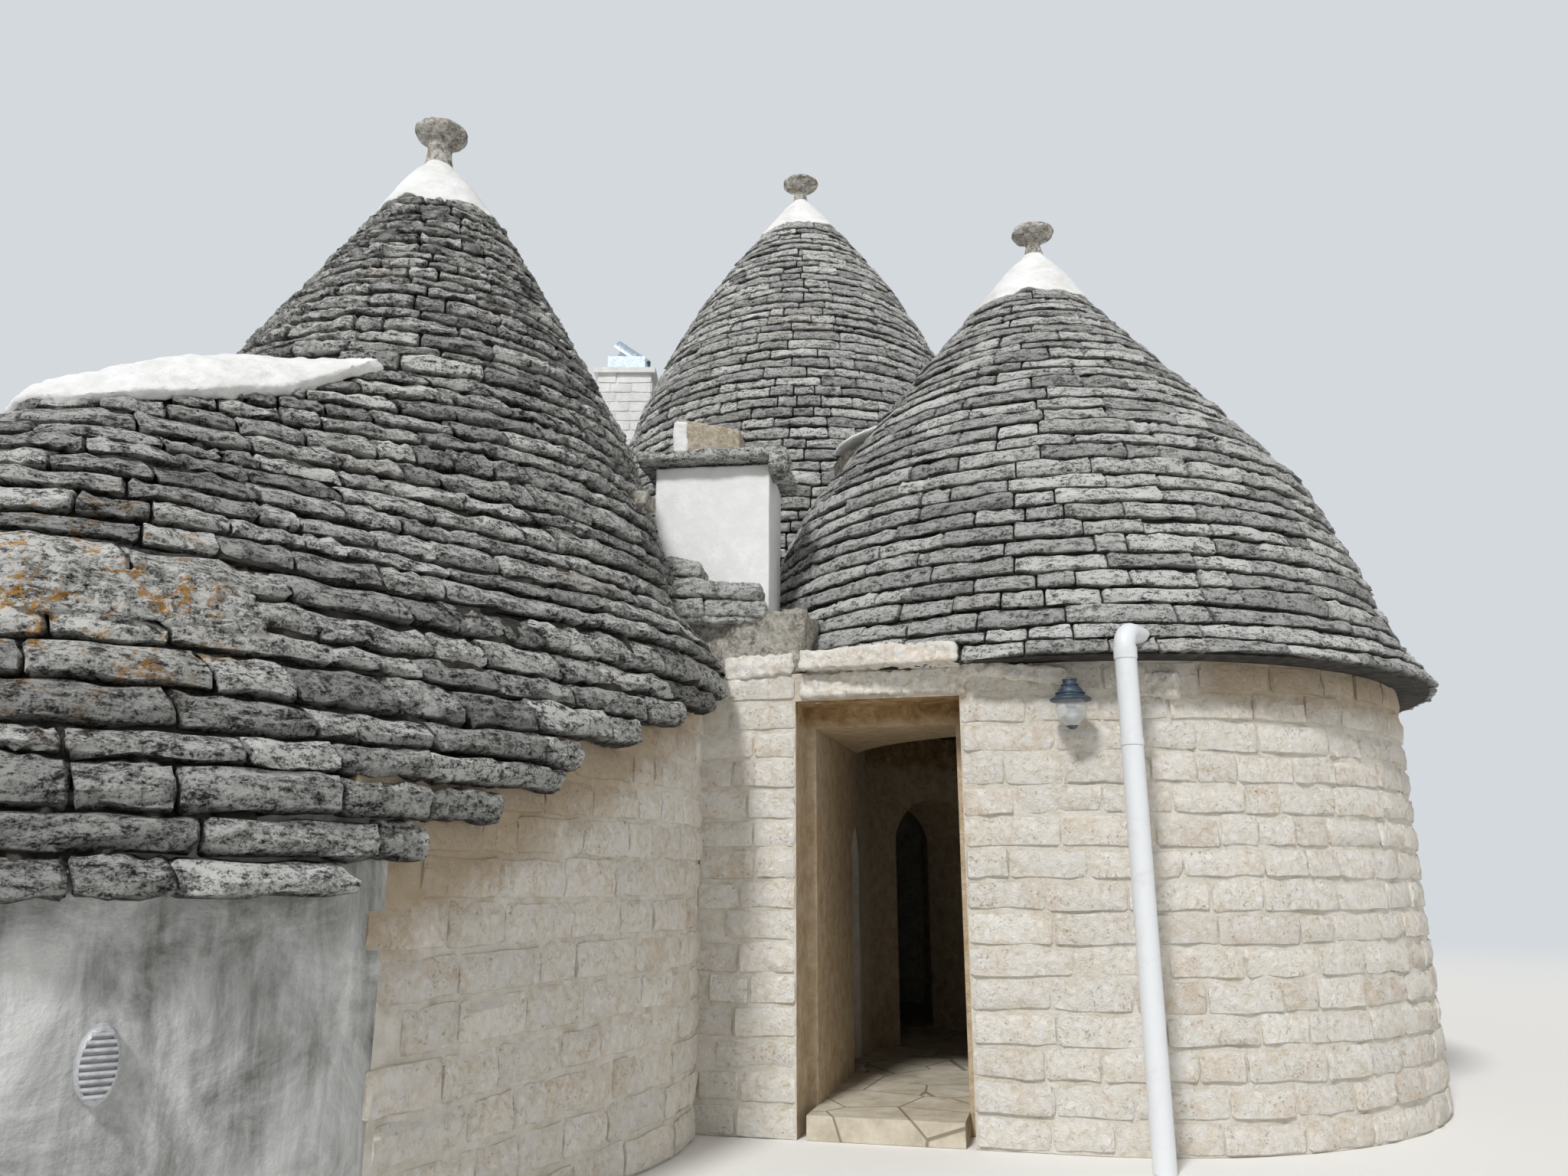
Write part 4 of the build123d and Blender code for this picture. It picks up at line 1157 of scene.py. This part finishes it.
oval = {"turn": math.radians(-54.1), "away": 1.8, "height": 0.8, "wide": 0.0575, "tall": 0.11, "slats": 9,
        "slat": (0.014, 0.0075, 1)}
parts = [started(bpy.ops.mesh.primitive_circle_add, vertices=48, radius=1, fill_type="NGON",
                 rotation=(0, math.radians(90), 0), scale=(oval["tall"], oval["wide"], 1))]
editAll()
for reach, share in ((0.03, 1.0), (0.012, 0.95), (0.006, 0.86), (-0.012, 0.98)):
    bpy.ops.mesh.extrude_region_move(TRANSFORM_OT_translate={"value": (reach, 0, 0)})
    bpy.ops.transform.resize(value=(1, share, share))
editDone(outward=True)
for number in range(oval["slats"]):
    share = (number + 0.5) / oval["slats"] * 2 - 1
    half = oval["wide"] * 0.84 * math.sqrt(1 - (share * 0.92) ** 2)
    parts.append(started(bpy.ops.mesh.primitive_cylinder_add, vertices=16, radius=1, depth=2 * half,
                         location=(0.04, 0, share * oval["tall"] * 0.84), rotation=(math.radians(90), 0, 0),
                         scale=oval["slat"]))
    bevelAll(0.002, 2, clamp_overlap=True)
piece = joined("louvredLight", *parts)
x, y = lobe["centre"]
piece.rotation_euler = (0, 0, oval["turn"])
piece.location = (x + oval["away"] * math.cos(oval["turn"]), y + oval["away"] * math.sin(oval["turn"]),
                  oval["height"])
applyAll()
smoothTo(40)
settle(piece, "louvre", "grey_metal", "bulkhead_light")

# long rough slabs over the doorway: length, depth, height, along, across, height of the middle, tip and turn

longSlabs = ((0.93, 0.14, 0.138, -0.908, -2.165, 2.375, 0, 0), (0.9, 0.22, 0.06, -0.9, -2.1, 2.47, 0, 0),
             (0.9, 0.3, 0.115, -0.905, -2.195, 2.51, 0.5, 5.7), (0.56, 0.14, 0.085, -0.18, -2.2, 2.405, 7, 0),
             (0.4, 0.14, 0.13, -1.62, -2.155, 2.5, -3, 0), (0.22, 0.14, 0.135, 0.57, -2.085, 2.315, 2, 15),
             (0.34, 0.12, 0.1, -1.86, -2.16, 2.38, 2, 0))
made = []
for length, depth, height, along, across, middle, tip, turn in longSlabs:
    made.append(roughSlab("longSlab", (length, depth, height), facePoint(along, across, middle),
                          facadeTurn - math.radians(turn), ((0.16, 0.04), (0.04, 0.03)), 0.014,
                          tip=math.radians(tip)))
rubble = copyOf("rubbleWallTop", "valley_wall")
editAll()
bpy.ops.mesh.bisect(plane_co=facePoint(-1.36, 0, 0), plane_no=(*facadeAlong, 0), use_fill=True,
                    clear_outer=True)
editDone()
weather(rubble, 0.018, (0.25, 0.07), (0.09, 0.06), (0.03, 0.03))
settle(rubble, "rubble", "limestone_wall", "valley_wall")
lintel = joined("lintelSlabs", *made)
# lightened evenly: painted light against the eave's shadow over the doorway
mark(lintel.data, 1.12)
settle(lintel, "wallStone", "limestone_wall")
print("slabs and fittings made")

# CAD nodes that keep their shape, by how their names begin; the first match counts

kept = {"wall_lobe_front": "plasterInPaintedShade", "wall_": "mortar", "doorway_": "mortar", "arch_": "mortar",
        "passage_": "mortar", "floor_": "paving", "threshold": "paving", "flue_cowl": "sheet",
        "flue_": "whitewash", "valley_fill": "darkSlab", "vent_": "plastic", "lantern_glass": "glass"}
for name, node in nodes.items():
    for start, finish in kept.items():
        if name.startswith(start):
            dress(node, finish)
            break
print("nodes dressed")

# floor, backdrop and light

stage = {"floor": 160, "near": 7.5, "far": 24, "sky": 0.45, "sun": 2.45, "fill": 0.3,
         "back": paint(212, 217, 222)}
bpy.ops.mesh.primitive_plane_add(size=stage["floor"], location=(0, 0, -0.002))
ground = bpy.context.object
ground.name = "studioFloor"
f = Finish("studioFloor")
away = f.node("VectorMath", [f.place], "Value", operation="LENGTH")
diffuse = f.node("BsdfDiffuse", {"Color": paint(232, 231, 228)})
plain = f.node("Emission", {"Color": stage["back"], "Strength": 1.0})
share = away.between(stage["near"], stage["far"]) * f.ray("Camera")
f.close(f.node("MixShader", [share, diffuse, plain]))
ground.data.materials.append(f.owner)

f = Finish("studio", "World")
direct = f.ray("Camera").math("MAXIMUM", f.ray("Glossy").math("MAXIMUM", f.ray("Transmission")))
soft = f.node("Background", {"Strength": stage["sky"]})
white = f.node("Background", {"Color": stage["back"]})
f.close(f.node("MixShader", [direct, soft, white]))
bpy.context.scene.world = f.owner

for turn, strength, angle in (((math.radians(44), math.radians(6), math.radians(-32)), stage["sun"], 9),
                              ((math.radians(62), 0, math.radians(55)), stage["fill"], 60)):
    bpy.ops.object.light_add(type="SUN", rotation=turn)
    bpy.context.object.data.energy = strength
    bpy.context.object.data.angle = math.radians(angle)

bpy.context.scene.view_settings.view_transform = "Standard"
print("stage set")
